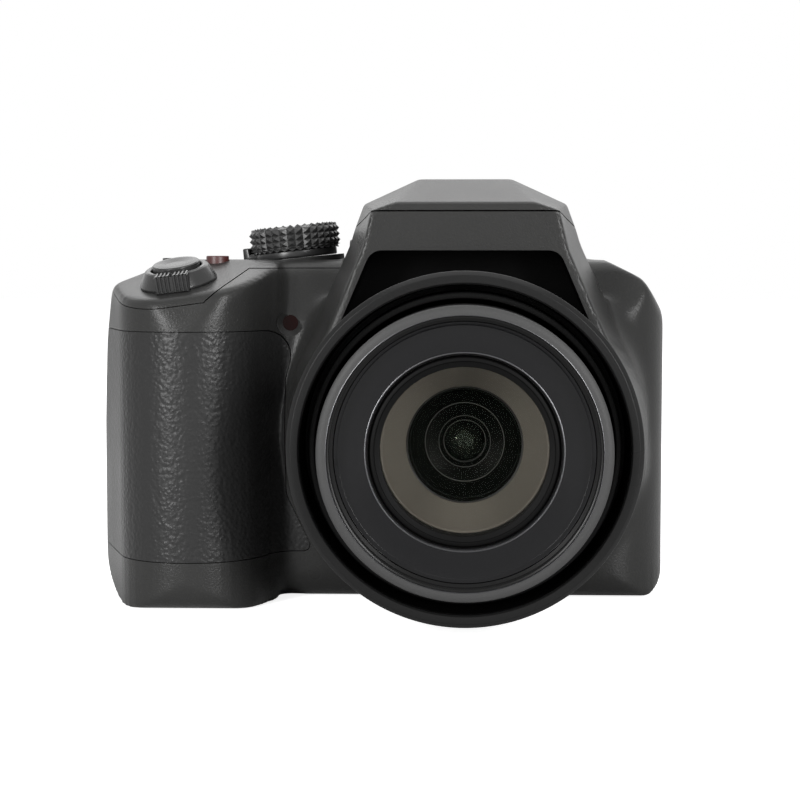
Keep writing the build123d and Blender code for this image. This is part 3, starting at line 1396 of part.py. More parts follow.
def main_board():
    """Main circuit board, with its processor and two smaller chips."""
    front = -LENS_TAIL_REAR + SENSOR_THICKNESS + CHASSIS_PLATE + STANDOFF
    rear = front + BOARD
    board = block(
        CHASSIS_LEFT + BOARD_MARGIN,
        CHASSIS_RIGHT - BOARD_MARGIN,
        front,
        rear,
        CHASSIS_BASE + BOARD_MARGIN,
        CHASSIS_TOP - BOARD_MARGIN,
    )
    for step in (-1, 0, 1):
        x = CHIP_WIDTH * step * 3 / 2
        board += block(x, x + CHIP_WIDTH, rear, rear + CHIP_THICKNESS, LENS_HEIGHT, LENS_HEIGHT + CHIP_HEIGHT)
    return board


def flash_capacitor():
    """Storage capacitor of the flash, upright beside the barrel."""
    top = CAPACITOR_BASE + CAPACITOR_LENGTH
    return rod_z(CAPACITOR_X, CAPACITOR_Y, CAPACITOR_BASE, top, CAPACITOR_RADIUS)


def tripod_socket():
    """Threaded metal bush in the base for a tripod screw."""
    bush = rod_z(0, 0, 0, WALL, TRIPOD_NECK_RADIUS)
    bush += rod_z(0, 0, WALL, TRIPOD_BOSS_HEIGHT, TRIPOD_BOSS_RADIUS)
    return bush - rod_z(0, 0, -OVERRUN, TRIPOD_DEPTH, TRIPOD_RADIUS)


def af_lamp_lens():
    """Lens of the focus lamp, set back in a dished hole."""
    return rod_y(LAMP_X, LAMP_Z, -BODY_FRONT + LAMP_SINK, -BODY_FRONT + LAMP_SINK + LAMP_LENGTH, LAMP_RADIUS)


def lamp_recess():
    """Dished hole for the focus lamp."""
    dish = Pos(LAMP_X, -BODY_FRONT, LAMP_Z) * Rot(-90, 0, 0) * Cone(
        LAMP_RECESS, LAMP_RADIUS, LAMP_SINK, align=(Align.CENTER, Align.CENTER, Align.MIN))
    mouth = rod_y(LAMP_X, LAMP_Z, -BODY_FRONT - OVERRUN, -BODY_FRONT, LAMP_RECESS)
    inner = -BODY_FRONT + WALL + OVERRUN
    return dish + mouth + rod_y(LAMP_X, LAMP_Z, -BODY_FRONT - OVERRUN, inner, LAMP_RADIUS)


def strap_lug(side):
    """Flat eyelet at one shoulder for the neck strap, standing out of the body's corner."""
    edge = PLAIN_SIDE if side > 0 else GRIP_SIDE
    corners = (
        (edge - LUG_WIDTH, LUG_BASE),
        (edge - LUG_PROUD, LUG_BASE),
        (edge - LUG_PROUD, LUG_BASE + LUG_HEIGHT * 2 / 3),
        (edge - LUG_WIDTH / 3, LUG_BASE + LUG_HEIGHT),
        (edge - LUG_WIDTH, LUG_BASE + LUG_HEIGHT),
    )
    corners = [(side * x, z) for x, z in corners]
    rounds = (0, 0, LUG_ROUND, LUG_ROUND, 0)
    lug = prism_y(outline(corners, rounds), LUG_Y, LUG_Y + LUG_THICKNESS)
    hole_x = side * (edge - LUG_WIDTH / 3)
    return lug - rod_y(hole_x, LUG_BASE + LUG_HEIGHT * 2 / 3, LUG_Y - OVERRUN, LUG_Y + OVERRUN, LUG_HOLE)


def screw_places():
    """X and Y of the screws in the base."""
    return (
        (PLAIN_SIDE - SCREW_PLAIN_INSET, -BODY_FRONT + SCREW_INSET),
        (PLAIN_SIDE - SCREW_PLAIN_INSET, BODY_REAR - SCREW_INSET),
        (-SCREW_INNER, BODY_REAR - SCREW_INSET),
        (-SCREW_INNER, -BODY_FRONT + SCREW_INSET),
    )


def case_screws():
    """Small cross-slotted screws that close the shells from below."""
    screws = []
    for x, y in screw_places():
        screw = rod_z(x, y, SCREW_SINK, SCREW_SINK + SCREW_HEAD_THICKNESS, SCREW_HEAD)
        screw += rod_z(x, y, SCREW_SINK, SCREW_SINK + SCREW_LENGTH, SCREW_RADIUS)
        for turn in (0, 90):
            slot = Box(SCREW_HEAD, SCREW_RADIUS / 3, SCREW_HEAD_THICKNESS)
            screw -= Pos(x, y, SCREW_SINK) * Rot(0, 0, turn) * slot
        screws.append(screw)
    return screws


def screw_holes():
    """Stepped holes for the case screws."""
    holes = None
    for x, y in screw_places():
        hole = rod_z(x, y, -OVERRUN, SCREW_SINK + SCREW_HEAD_THICKNESS, SCREW_HEAD + SLIDE_GAP)
        hole += rod_z(x, y, -OVERRUN, SCREW_SINK + SCREW_LENGTH + SLIDE_GAP, SCREW_RADIUS + SLIDE_GAP)
        holes = hole if holes is None else holes + hole
    return holes


def screw_bosses():
    """Bosses inside the base that the case screws cut into."""
    bosses = None
    for x, y in screw_places():
        boss = rod_z(x, y, WALL / 2, SCREW_SINK + SCREW_LENGTH + SCREW_HEAD_THICKNESS, SCREW_BOSS)
        bosses = boss if bosses is None else bosses + boss
    return bosses


def front_cover(shell):
    """Front half of the shell, with the brow, the hood and the hole for the lens."""
    cover = shell & block(-REACH, REACH, -REACH, SHELL_SPLIT, -OVERRUN, REACH)
    cover -= lens_recess()
    cover -= axis_rod(REACH / 2, 0, BARREL_RADIUS + SLIDE_GAP)
    cover -= flash_zone(LIFT_GAP) & block(-REACH, REACH, -HOOD_ROOT, REACH, 0, REACH)
    cover -= flash_zone(SLIDE_GAP)
    cover -= rod_x(
        -FLASH_RELEASE_PLACE, FLASH_RELEASE_HEIGHT, -REACH / 2, 0, FLASH_RELEASE_RADIUS + FACE_GAP)
    cover -= lamp_recess()
    return cover


def rear_cover(shell):
    """Rear half of the shell, cut for the screen, the keys, the thumb wheel and the viewfinder."""
    cover = shell & block(-REACH, REACH, SHELL_SPLIT, REACH, -OVERRUN, REACH)
    cover += rear_dial_bracket()
    cover -= rear_dial_well()
    cover -= prism_y(screen_face(), BODY_REAR - SCREEN_GLASS, BODY_REAR + OVERRUN)
    cover -= prism_y(screen_face(SCREEN_LEDGE), BODY_REAR - WALL - OVERRUN, BODY_REAR + OVERRUN)
    cover -= flash_zone(LIFT_GAP)
    centre = FINDER_BASE + FINDER_HEIGHT / 2
    eye = Pos(0, centre) * RectangleRounded(EYEPIECE_WIDTH, EYEPIECE_HEIGHT, SCREEN_CORNER)
    cover -= prism_y(eye, HUMP_REAR - WALL - OVERRUN, HUMP_REAR + OVERRUN)
    for _, x, z in rear_keys():
        cover -= key_form(x, z, REAR_KEY_RADIUS, FACE_GAP)
    cover -= key_form(PAD_X, PAD_Z, MENU_RADIUS, FACE_GAP)
    for step in range(4):
        cover -= pad_key(90 * step, FACE_GAP)
    outer = HUMP_FLANK / 2 + DIOPTER_PROUD
    inner = outer - DIOPTER_THICKNESS - FACE_GAP
    cover -= rod_x(DIOPTER_Y, DIOPTER_HEIGHT, inner, outer + OVERRUN, DIOPTER_RADIUS + FACE_GAP)
    cover -= rod_x(DIOPTER_Y, DIOPTER_HEIGHT, 0, outer, DIOPTER_AXLE + SLIDE_GAP)
    cover -= terminal_door(FACE_GAP)
    cover -= socket_holes()
    return cover


def fitted(cover):
    """A cover with what both shells share taken out: doors, pins, rubber, screws, bush and lugs."""
    cover -= battery_door(DOOR_GAP)
    for pin in hinge_pins():
        cover -= pin
    cover -= rod_z(0, 0, -OVERRUN, WALL + OVERRUN, TRIPOD_NECK_RADIUS)
    cover -= screw_holes()
    for side in (-1, 1):
        cover -= strap_lug(side)
    return cover


def build_nodes():
    """Every piece of the camera, by the name of its node."""
    outside = body_form()
    cavity = cavity_form()
    shell = outside - cavity
    rubber = grip_rubber()
    thumb = thumb_rubber()
    body = (shell - flash_zone()) + (screw_bosses() & cavity)
    deck = control_deck(body)
    rest = body - deck_zone() - dial_seat() - rubber - thumb
    front = fitted(front_cover(rest))
    rear = fitted(rear_cover(rest))
    nodes = {
        "front_cover": front,
        "rear_cover": rear,
        "control_deck": deck,
        "grip_rubber": rubber,
        "thumb_rubber": thumb,
        "battery_door": battery_door(),
        "battery_latch": latch_box(),
        "terminal_door": terminal_door(),
        "hinge_pins": hinge_pins(),
        "flash_cover": flash_cover(outside),
        "flash_head": flash_head(),
        "flash_window": flash_window(),
        "flash_release_button": flash_release_button(),
        "flash_capacitor": flash_capacitor(),
        "viewfinder_module": viewfinder_module(),
        "eyepiece_lens": eyepiece_lens(),
        "eyecup": eyecup(),
        "diopter_dial": diopter_dial(),
        "strap_lugs": [strap_lug(-1), strap_lug(1)],
        "af_lamp_lens": af_lamp_lens(),
        "shutter_button": shutter_button(),
        "zoom_lever": zoom_lever(),
        "mode_dial": mode_dial(),
        "power_lever": power_lever(),
        "record_button": small_button(RECORD_X, RECORD_Y, DECK_TOP),
        "function_button": small_button(FUNCTION_X, FUNCTION_Y, FUNCTION_TOP),
        "rear_dial": rear_dial(),
        "menu_button": key_form(PAD_X, PAD_Z, MENU_RADIUS),
        "screen_window": screen_window(),
        "screen_panel": screen_panel(),
        "fixed_barrel": fixed_barrel(),
        "outer_ring": outer_ring(),
        "cam_tube": cam_tube(),
        "outer_zoom_barrel": outer_zoom_barrel(),
        "inner_zoom_barrel": inner_zoom_barrel(),
        "name_ring": name_ring(),
        "front_element": front_element(),
        "second_group": second_group(),
        "iris_unit": iris_unit(),
        "focus_group": focus_group(),
        "sensor_unit": sensor_unit(),
        "zoom_motor": zoom_motor(),
        "chassis": chassis(),
        "main_board": main_board(),
        "battery": battery(),
        "battery_holder": battery_holder(),
        "memory_card": memory_card(),
        "sockets": sockets(),
        "tripod_socket": tripod_socket(),
        "case_screws": case_screws(),
    }
    for name, x, z in rear_keys():
        nodes[name] = key_form(x, z, REAR_KEY_RADIUS)
    for step, name in enumerate(("left_key", "up_key", "right_key", "down_key")):
        nodes[name] = pad_key(90 * step)
    return nodes


def main():
    """Writes each piece to its own file."""
    os.makedirs("parts", exist_ok=True)
    for name, shape in build_nodes().items():
        if isinstance(shape, list):
            shape = Compound(children=shape)
        export_step(shape, f"parts/{name}.step")


if __name__ == "__main__":
    main()
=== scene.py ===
"""Looks of the bridge camera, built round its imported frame. Metres, +Z up, the lens faces -Y."""

import json
from math import asin, atan2, cos, pi, radians, sin, sqrt

import bpy
import numpy as np
from mathutils import Matrix, Vector

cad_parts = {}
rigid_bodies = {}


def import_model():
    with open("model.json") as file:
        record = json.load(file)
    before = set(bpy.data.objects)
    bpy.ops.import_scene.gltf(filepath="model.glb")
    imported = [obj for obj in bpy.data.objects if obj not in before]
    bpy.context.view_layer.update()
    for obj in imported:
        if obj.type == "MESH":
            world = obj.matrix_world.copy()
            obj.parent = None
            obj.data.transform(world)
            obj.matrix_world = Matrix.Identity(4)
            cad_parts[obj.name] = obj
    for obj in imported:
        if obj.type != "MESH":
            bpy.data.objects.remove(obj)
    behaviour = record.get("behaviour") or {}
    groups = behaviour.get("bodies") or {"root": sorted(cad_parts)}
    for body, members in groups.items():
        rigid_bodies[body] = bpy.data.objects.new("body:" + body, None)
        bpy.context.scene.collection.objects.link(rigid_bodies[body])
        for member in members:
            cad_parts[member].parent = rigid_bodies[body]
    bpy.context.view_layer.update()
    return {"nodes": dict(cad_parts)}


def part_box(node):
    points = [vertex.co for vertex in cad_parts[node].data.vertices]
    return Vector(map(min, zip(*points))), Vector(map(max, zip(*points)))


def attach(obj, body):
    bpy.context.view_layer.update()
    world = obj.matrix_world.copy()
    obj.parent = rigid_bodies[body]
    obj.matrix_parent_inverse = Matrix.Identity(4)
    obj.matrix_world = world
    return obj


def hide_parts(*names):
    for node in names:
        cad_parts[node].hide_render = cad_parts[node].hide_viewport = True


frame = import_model()
nodes = frame["nodes"]
MM = 0.001

# Studio: a long lens a little above the base, looking slightly down at the camera, as in the photograph.
# Two tall soft boxes stand left and right in front, one hangs above and one behind, on a white background.
CAMERA_PLACE = Vector((0, -476 * MM, 78 * MM))
CAMERA_DIP = 4.15
CAMERA_YAW = 1.86
FOCAL_LENGTH = 90
LIGHT_TARGET = Vector((-10, -20, 45)) * MM
ROOM_LIGHT = 0.3
BACKGROUND = 1.0
FLOOR_SIZE = 6.0
FLOOR_HEIGHT = -0.2
FLOOR_GLOW = 0.85
WHITE = (1, 1, 1, 1)


def soft_box(name, place, width, height, watts):
    """A rectangular soft light that faces the object."""
    bpy.ops.object.light_add(type="AREA", location=place)
    lamp = bpy.context.object
    lamp.name = name
    lamp.data.shape = "RECTANGLE"
    lamp.data.size = width
    lamp.data.size_y = height
    lamp.data.energy = watts
    lamp.rotation_mode = "QUATERNION"
    lamp.rotation_quaternion = (LIGHT_TARGET - Vector(place)).to_track_quat("-Z", "Y")


def fill(tree, socket, value):
    """Links an input to another socket, or sets its value."""
    if isinstance(value, bpy.types.NodeSocket):
        tree.links.new(value, socket)
    else:
        socket.default_value = value


def fed(tree, node, **inputs):
    """A shader node with some of its inputs set or linked."""
    for name, value in inputs.items():
        fill(tree, node.inputs[name.replace("_", " ")], value)
    return node


def mixed(tree, kind, **inputs):
    """A new shader node with some of its inputs set or linked."""
    return fed(tree, tree.nodes.new(kind), **inputs)


def worked(tree, operation, *values, kind="ShaderNodeMath"):
    """What a sum of values and sockets comes to."""
    node = tree.nodes.new(kind)
    node.operation = operation
    for socket, value in zip(node.inputs, values):
        fill(tree, socket, value)
    return node.outputs[0]


bpy.ops.object.camera_add(
    location=CAMERA_PLACE,
    rotation=(radians(90 - CAMERA_DIP), 0, radians(CAMERA_YAW)),
)
camera = bpy.context.object
camera.data.lens = FOCAL_LENGTH
camera.data.clip_start = 10 * MM
bpy.context.scene.camera = camera
bpy.context.scene.view_settings.view_transform = "Standard"
soft_box("soft_box_left", (-0.66, -1.02, 0.36), 0.2, 0.62, 12.5)
soft_box("soft_box_right", (0.66, -1.02, 0.36), 0.2, 0.62, 12.5)
soft_box("soft_box_above", (0.0, 0.12, 1.1), 1.1, 0.8, 4)
soft_box("soft_box_behind", (0.0, 0.85, 0.75), 1.4, 0.5, 3)

world = bpy.data.worlds.new("studio")
bpy.context.scene.world = world
world.use_nodes = True
sky = world.node_tree
rays = mixed(sky, "ShaderNodeLightPath").outputs
seen = worked(sky, "MAXIMUM", rays["Is Camera Ray"], rays["Is Transmission Ray"])
shone = worked(sky, "MAXIMUM", seen, rays["Is Glossy Ray"])
strength = mixed(sky, "ShaderNodeMapRange", Value=shone, To_Min=ROOM_LIGHT, To_Max=BACKGROUND)
fed(sky, sky.nodes["Background"], Strength=strength.outputs[0], Color=WHITE)

bpy.ops.mesh.primitive_plane_add(size=FLOOR_SIZE, location=(0, 0, FLOOR_HEIGHT * MM))
floor = bpy.context.object
floor.name = "floor"
paper = bpy.data.materials.new("pale_floor")
paper.use_nodes = True
sheet = paper.node_tree
sheet_rays = mixed(sheet, "ShaderNodeLightPath").outputs
glow = worked(sheet, "MULTIPLY", sheet_rays["Is Camera Ray"], FLOOR_GLOW)
fed(sheet, sheet.nodes["Principled BSDF"], Base_Color=(0.86, 0.86, 0.86, 1), Roughness=0.9,
    Emission_Color=WHITE, Emission_Strength=glow)
floor.data.materials.append(paper)

# Body: the grip and the plain side in one form, upright up to the knee and then leaning back to the deck.
# The real mouldings flow into each other, so it is parted only after hump, hood and ribs are on it.
GRIP_SIDE = 84.5
GRIP_FRONT = 45.5
GRIP_NOSE_INNER = 49.0
GRIP_NOSE_OUTER = 73.0
GRIP_SHOULDER = 10.0
GRIP_ROOT = 42.0
GRIP_LIMIT = 41.5
GRIP_SETBACK = 4.5
PLAIN_SIDE = 45.7
BODY_FRONT = 26.0
BODY_REAR = 26.0
DECK_TOP = 76.9
KNEE = 62.0
KNEE_SETBACK = 7.5
KNEE_ROUND = 6.0
BASE_ROUND = 6.5
REAR_ROUND = 5.0
PLAN_ROUNDS = (13.0, 7.0, 14.0, 7.0, 16.4, 16.4, 20.0)
LEFT_SHARES = ((0.78, 1.005), (0.951, 0.925), (0.979, 0.787), (1.0, 0.44), (1.0, 0.22), (0.988, -0.005))
RIGHT_SHARES = ((1.0, -0.005), (1.0, 0.84), (0.885, 0.943), (0.68, 1.005))
SIDE_ROUNDS = (10.0, 3.8, 15.4, 30.8, 15.4, 9.2, 6.5, 4.6, 3.8, 7.7)
SHUTTER_PLACE = Vector((-63.8, -31.0, 71.9))
DECK_LEAN = 14.0
DECK_ROLL = 7.0
DECK_TURN = Matrix.Rotation(radians(DECK_LEAN), 4, "X") @ Matrix.Rotation(radians(-DECK_ROLL), 4, "Y")
FAR = 200.0
SPARE = 1


def select_only(*pieces):
    """Only these pieces are selected, and the first is active."""
    bpy.ops.object.select_all(action="DESELECT")
    for piece in pieces:
        piece.select_set(True)
    bpy.context.view_layer.objects.active = pieces[0]


def applied(piece, kind, **settings):
    """The piece with one modifier added and applied."""
    select_only(piece)
    change = piece.modifiers.new(kind.lower(), kind)
    for key, value in settings.items():
        setattr(change, key, value)
    bpy.ops.object.modifier_apply(modifier=change.name)
    return piece


def placed(piece, name):
    """The piece under its name, with its place moved into its mesh."""
    select_only(piece)
    bpy.ops.object.transform_apply(location=True, rotation=True, scale=True)
    piece.name = name
    piece.data.name = name
    return piece


def rounded(points, radii, steps=8):
    """An outline's points with each corner rounded by an arc of the given radius."""
    curve = []
    for i, radius in enumerate(radii):
        here = Vector(points[i])
        back = Vector(points[i - 1]) - here
        ahead = Vector(points[(i + 1) % len(points)]) - here
        if not radius:
            curve.append(here)
            continue
        half = back.angle(ahead) / 2
        reach = radius * cos(half) / sin(half)
        middle = here + (back.normalized() + ahead.normalized()).normalized() * radius / sin(half)
        start = here + back.normalized() * reach - middle
        end = here + ahead.normalized() * reach - middle
        turn = start.angle_signed(end)
        for step in range(steps + 1):
            curve.append(middle + Matrix.Rotation(-turn * step / steps, 2) @ start)
    return curve


def edited(piece, *steps):
    """The piece after some edit steps, each with its whole mesh selected."""
    select_only(piece)
    bpy.ops.object.mode_set(mode="EDIT")
    for step in steps:
        bpy.ops.mesh.select_all(action="SELECT")
        step()
    bpy.ops.object.mode_set(mode="OBJECT")
    return piece


def meshed(points, edges, faces):
    """A new piece from its points in millimetres."""
    mesh = bpy.data.meshes.new("piece")
    mesh.from_pydata([Vector(point) * MM for point in points], edges, faces)
    piece = bpy.data.objects.new("piece", mesh)
    bpy.context.scene.collection.objects.link(piece)
    return piece


def on_axis(axis, along, across=(0, 0)):
    """A place from its distance along an axis and the two across it."""
    a, b = across
    return Vector({"x": (along, a, b), "y": (a, along, b), "z": (a, b, along)}[axis])


def flat_outline(points, axis, level):
    """A flat face on the plane that stands across an axis, from an outline in millimetres."""
    return meshed([on_axis(axis, level, point) for point in points], [], [range(len(points))])


def prism(points, axis, low, high):
    """An outline made solid along an axis."""
    way = on_axis(axis, high - low) * MM
    return edited(flat_outline(points, axis, low),
                  lambda: bpy.ops.mesh.extrude_region_move(TRANSFORM_OT_translate={"value": way}),
                  bpy.ops.mesh.normals_make_consistent)


def block(low, high, turn=None, pivot=None):
    """A box between two corners, turned about a pivot where one is given."""
    low, high = Vector(low), Vector(high)
    bpy.ops.mesh.primitive_cube_add(size=1, location=(low + high) / 2 * MM, scale=(high - low) * MM)
    piece = placed(bpy.context.object, "block")
    if turn:
        pivot = Vector(pivot) * MM
        piece.data.transform(Matrix.Translation(pivot) @ turn @ Matrix.Translation(-pivot))
    return piece


def combined(piece, tool, how):
    """The piece with a tool taken from it, kept to it or added to it, and the tool deleted."""
    applied(piece, "BOOLEAN", operation=how, solver="MANIFOLD", object=tool)
    bpy.data.objects.remove(tool)
    return piece


def kept(piece, *tools):
    """What the piece and each tool share."""
    for tool in tools:
        combined(piece, tool, "INTERSECT")
    return piece


def side_outline(front, setback):
    """The body from the side: an upright front up to the knee, which then leans back to the deck."""
    corners = ((-front, 0), (-front, KNEE), (-front + setback, DECK_TOP), (BODY_REAR, DECK_TOP),
               (BODY_REAR, 0))
    return rounded(corners, (BASE_ROUND, KNEE_ROUND, KNEE_ROUND, REAR_ROUND, BASE_ROUND))


def body_blank():
    """The body without its hump and hood."""
    plan = rounded(
        ((-GRIP_SIDE, BODY_REAR), (PLAIN_SIDE, BODY_REAR), (PLAIN_SIDE, -BODY_FRONT),
         (-GRIP_ROOT, -BODY_FRONT), (-GRIP_NOSE_INNER, -GRIP_FRONT), (-GRIP_NOSE_OUTER, -GRIP_FRONT),
         (-GRIP_SIDE, -GRIP_SHOULDER)), PLAN_ROUNDS)
    front = [(-GRIP_SIDE * x, DECK_TOP * z) for x, z in LEFT_SHARES]
    front += [(PLAIN_SIDE * x, DECK_TOP * z) for x, z in RIGHT_SHARES]
    middle = prism(side_outline(BODY_FRONT, KNEE_SETBACK), "x", -GRIP_SIDE, PLAIN_SIDE)
    grip = prism(side_outline(GRIP_FRONT, GRIP_SETBACK), "x", -GRIP_SIDE, -GRIP_LIMIT)
    low = SHUTTER_PLACE - Vector((FAR, FAR, FAR))
    high = SHUTTER_PLACE + Vector((FAR, FAR, 0))
    kept(grip, block(low, high, DECK_TURN, SHUTTER_PLACE))
    combined(middle, grip, "UNION")
    kept(middle, prism(plan, "z", -SPARE, DECK_TOP + SPARE),
         prism(rounded(front, SIDE_ROUNDS), "y", -FAR, FAR))
    return middle


# Hump and hood: a flat-topped housing whose legs run down into a ring round the lens.
# The nose leans back over the lens and narrows to the front; the rear part is straight.
LENS_HEIGHT = 38.5
HOOD_FRONT = 42.0
HOOD_ROOT = 24.0
HOOD_LEAN = 4.4
HOOD_RADIUS = 37.6
HOOD_FOOT = 30.5
LEG_STEPS = 6
RING_STEPS = 48
NOSE_TOP = 89.2
BROW = 79.0
BROW_HALF = 22.3
HUMP_TOP = 95.0
HUMP_REAR = 27.0
HUMP_PEAK_END = 6.0
HUMP_REAR_DROP = 5.0
CROWN_HALF = 10.35
SHOULDER_HALF = 22.8
SHOULDER_DROP = 5.7
FLANK_HALF = 25.7
FLANK_HEIGHT = 81.5


def close_ends():
    """Fills the open ends of the mesh being edited."""
    bpy.ops.mesh.select_all(action="DESELECT")
    bpy.ops.mesh.select_mode(type="EDGE")
    bpy.ops.mesh.select_non_manifold()
    bpy.ops.mesh.edge_face_add()


def drawn(near, far, axis, low, high):
    """A solid that runs from one outline to another along an axis."""
    piece = flat_outline(near, axis, low)
    select_only(piece, flat_outline(far, axis, high))
    bpy.ops.object.join()
    return edited(piece, bpy.ops.mesh.bridge_edge_loops, close_ends, bpy.ops.mesh.normals_make_consistent)


def joined(piece, *others):
    """One manifold piece from several."""
    for other in others:
        combined(piece, other, "UNION")
    return piece


def cut(piece, *tools):
    """The piece with the tools taken out of it."""
    return combined(piece, joined(*tools), "DIFFERENCE")


def hood_outline(crown, top, shoulder, drop, flank, flank_z, foot, radius):
    """The hood across: a flat-topped hump whose legs run down into a ring round the lens."""
    foot_z = LENS_HEIGHT + sqrt(radius**2 - foot**2)
    right = [Vector(p) for p in ((crown, top), (shoulder, top - drop), (flank, flank_z), (foot, foot_z))]
    sides = []
    for start, end in zip(right, right[1:]):
        sides += [start.lerp(end, step / LEG_STEPS) for step in range(LEG_STEPS)]
    left = [Vector((-p.x, p.y)) for p in reversed(sides)]
    start = atan2(foot_z - LENS_HEIGHT, foot)
    sweep = pi + 2 * start
    ring = [start - sweep * step / RING_STEPS for step in range(RING_STEPS + 1)]
    return left + sides + [Vector((radius * cos(a), LENS_HEIGHT + radius * sin(a))) for a in ring]


def hood_blank():
    """The hump's nose and the hood round the lens, narrowing towards the front."""
    nose = hood_outline(15.5, NOSE_TOP, 20.3, 1.6, BROW_HALF, BROW, HOOD_FOOT, HOOD_RADIUS)
    root = hood_outline(CROWN_HALF, HUMP_TOP, SHOULDER_HALF, SHOULDER_DROP, FLANK_HALF, FLANK_HEIGHT,
                        36.5, 41.5)
    hood = drawn(nose, root, "y", -HOOD_FRONT, -HOOD_ROOT)
    pivot = (0, -HOOD_FRONT, NOSE_TOP)
    lean = Matrix.Rotation(radians(-HOOD_LEAN), 4, "X")
    return cut(hood, block((-FAR, -HOOD_FRONT - FAR, -FAR), (FAR, -HOOD_FRONT, FAR), lean, pivot))


def hump_blank():
    """The rear part of the hump, which holds the viewfinder."""
    half = [(FLANK_HALF, 60.0), (FLANK_HALF, FLANK_HEIGHT), (SHOULDER_HALF, HUMP_TOP - SHOULDER_DROP),
            (CROWN_HALF, HUMP_TOP)]
    across = prism(half + [(-x, z) for x, z in reversed(half)], "y", -HOOD_ROOT, HUMP_REAR)
    along = ((-HOOD_ROOT - SPARE, 0), (-HOOD_ROOT - SPARE, HUMP_TOP), (HUMP_PEAK_END, HUMP_TOP),
             (HUMP_REAR, HUMP_TOP - HUMP_REAR_DROP), (HUMP_REAR, 0))
    return kept(across, prism(along, "x", -FAR, FAR))


# Ribs: a soft swelling on each side of the hood, where the body's front turns in towards the lens.
# It starts at the shoulder, crosses the knee and fades out above the base.
RIB_PATH = ((33.2, -17.6, 72.5), (33.6, -20.3, 68.0), (34.2, -24.4, 61.5), (36.8, -25.0, 52.0),
            (39.6, -25.0, 41.0), (39.6, -24.6, 28.0))
RIB_RADIUS = 2.3
RIB_STRETCH = 1.4
RIB_STEPS = 7


def rib_blank(side):
    """A soft rib down the front beside the hood, as a row of stretched balls."""
    beads = []
    for (x, y, z), (next_x, next_y, next_z) in zip(RIB_PATH, RIB_PATH[1:]):
        for step in range(RIB_STEPS):
            share = step / RIB_STEPS
            place = Vector((x, y, z)).lerp(Vector((next_x, next_y, next_z)), share)
            bpy.ops.mesh.primitive_uv_sphere_add(
                segments=24, ring_count=12, radius=RIB_RADIUS * MM,
                location=Vector((side * place.x, place.y, place.z)) * MM, scale=(1, 1, RIB_STRETCH))
            beads.append(placed(bpy.context.object, "rib"))
    return beads


# Skin: the blanks are made one surface and its hollows are filled with wide fillets, as on the moulding.
# The grip's top and the plain side's shoulder are rounded more than the crisp hump.
FORM_VOXEL = 0.6
HOLLOW_DEPTH = 0.012
HOLLOW_GROWTH = 1.35
HOLLOW_SPREAD = 9
GRIP_TOP_BOX = ((-100, -60, 55), (-24, 10, 120))
PLAIN_SHOULDER_BOX = ((38, -60, 5), (100, 12, 120))
BOX_FADE = 6.0
SMOOTHING = 0.8
HOLLOW_ROUNDS = 70
GRIP_TOP_ROUNDS = 24
PLAIN_SHOULDER_ROUNDS = 30


def twin_of(piece):
    """A second piece of the same shape, with its own mesh."""
    twin = piece.copy()
    twin.data = piece.data.copy()
    bpy.context.scene.collection.objects.link(twin)
    return twin


def neighbours(mesh):
    """The two ends of each edge, and how many edges meet at each vertex."""
    ends = np.empty(len(mesh.edges) * 2, dtype=np.int32)
    mesh.edges.foreach_get("vertices", ends)
    ends = ends.reshape(-1, 2)
    return ends, np.bincount(ends.ravel(), minlength=len(mesh.vertices))


def averaged(values, ends, degree):
    """Each vertex's mean of its neighbours' values."""
    total = np.bincount(ends[:, 0], values[ends[:, 1]], len(degree))
    total += np.bincount(ends[:, 1], values[ends[:, 0]], len(degree))
    return total / degree


def read(mesh, what):
    """Places or normals of the vertices, as rows of three numbers."""
    rows = np.empty(len(mesh.vertices) * 3, dtype=np.float64 if what == "co" else np.float32)
    mesh.vertices.foreach_get(what, rows)
    return rows.reshape(-1, 3)


def smoothed(piece, weights, rounds, levels=10):
    """Smooths a piece by a weight from 0 to 1 for each vertex."""
    group = piece.vertex_groups.new(name="weights")
    steps = np.rint(np.clip(weights, 0, 1) * levels).astype(int)
    for level in range(1, levels + 1):
        members = np.nonzero(steps == level)[0]
        if len(members):
            group.add(members.tolist(), level / levels, "REPLACE")
    applied(piece, "SMOOTH", factor=SMOOTHING, iterations=rounds, vertex_group=group.name)
    piece.vertex_groups.clear()


def soften_hollows(piece, rounds):
    """Fills the inner corners with wide fillets, and leaves the outer edges crisp."""
    places, normals = read(piece.data, "co"), read(piece.data, "normal")
    ends, degree = neighbours(piece.data)
    pull = np.stack([averaged(places[:, i], ends, degree) for i in range(3)], axis=1) - places
    weights = (np.einsum("ij,ij->i", pull, normals) > HOLLOW_DEPTH * MM).astype(float)
    for _ in range(HOLLOW_SPREAD):
        weights = np.maximum(weights, averaged(weights, ends, degree) * HOLLOW_GROWTH)
    weights = np.clip(weights, 0, 1)
    for _ in range(HOLLOW_SPREAD):
        weights = averaged(weights, ends, degree)
    smoothed(piece, weights, rounds)


def soften_edges(piece, low, high, rounds):
    """Rounds the outer edges too, inside a box whose faces fade out."""
    places = read(piece.data, "co") / MM
    inside = np.minimum(places - np.array(low), np.array(high) - places).min(axis=1)
    smoothed(piece, inside / BOX_FADE, rounds)


hood = hood_blank()
blanks = [body_blank(), hump_blank(), twin_of(hood), *rib_blank(1), *rib_blank(-1)]
select_only(*blanks)
bpy.ops.object.join()
form = placed(blanks[0], "form")
applied(form, "REMESH", mode="VOXEL", voxel_size=FORM_VOXEL * MM)
applied(form, "SMOOTH", factor=0.5, iterations=5)
soften_hollows(form, HOLLOW_ROUNDS)
soften_edges(form, *GRIP_TOP_BOX, GRIP_TOP_ROUNDS)
soften_edges(form, *PLAIN_SHOULDER_BOX, PLAIN_SHOULDER_ROUNDS)

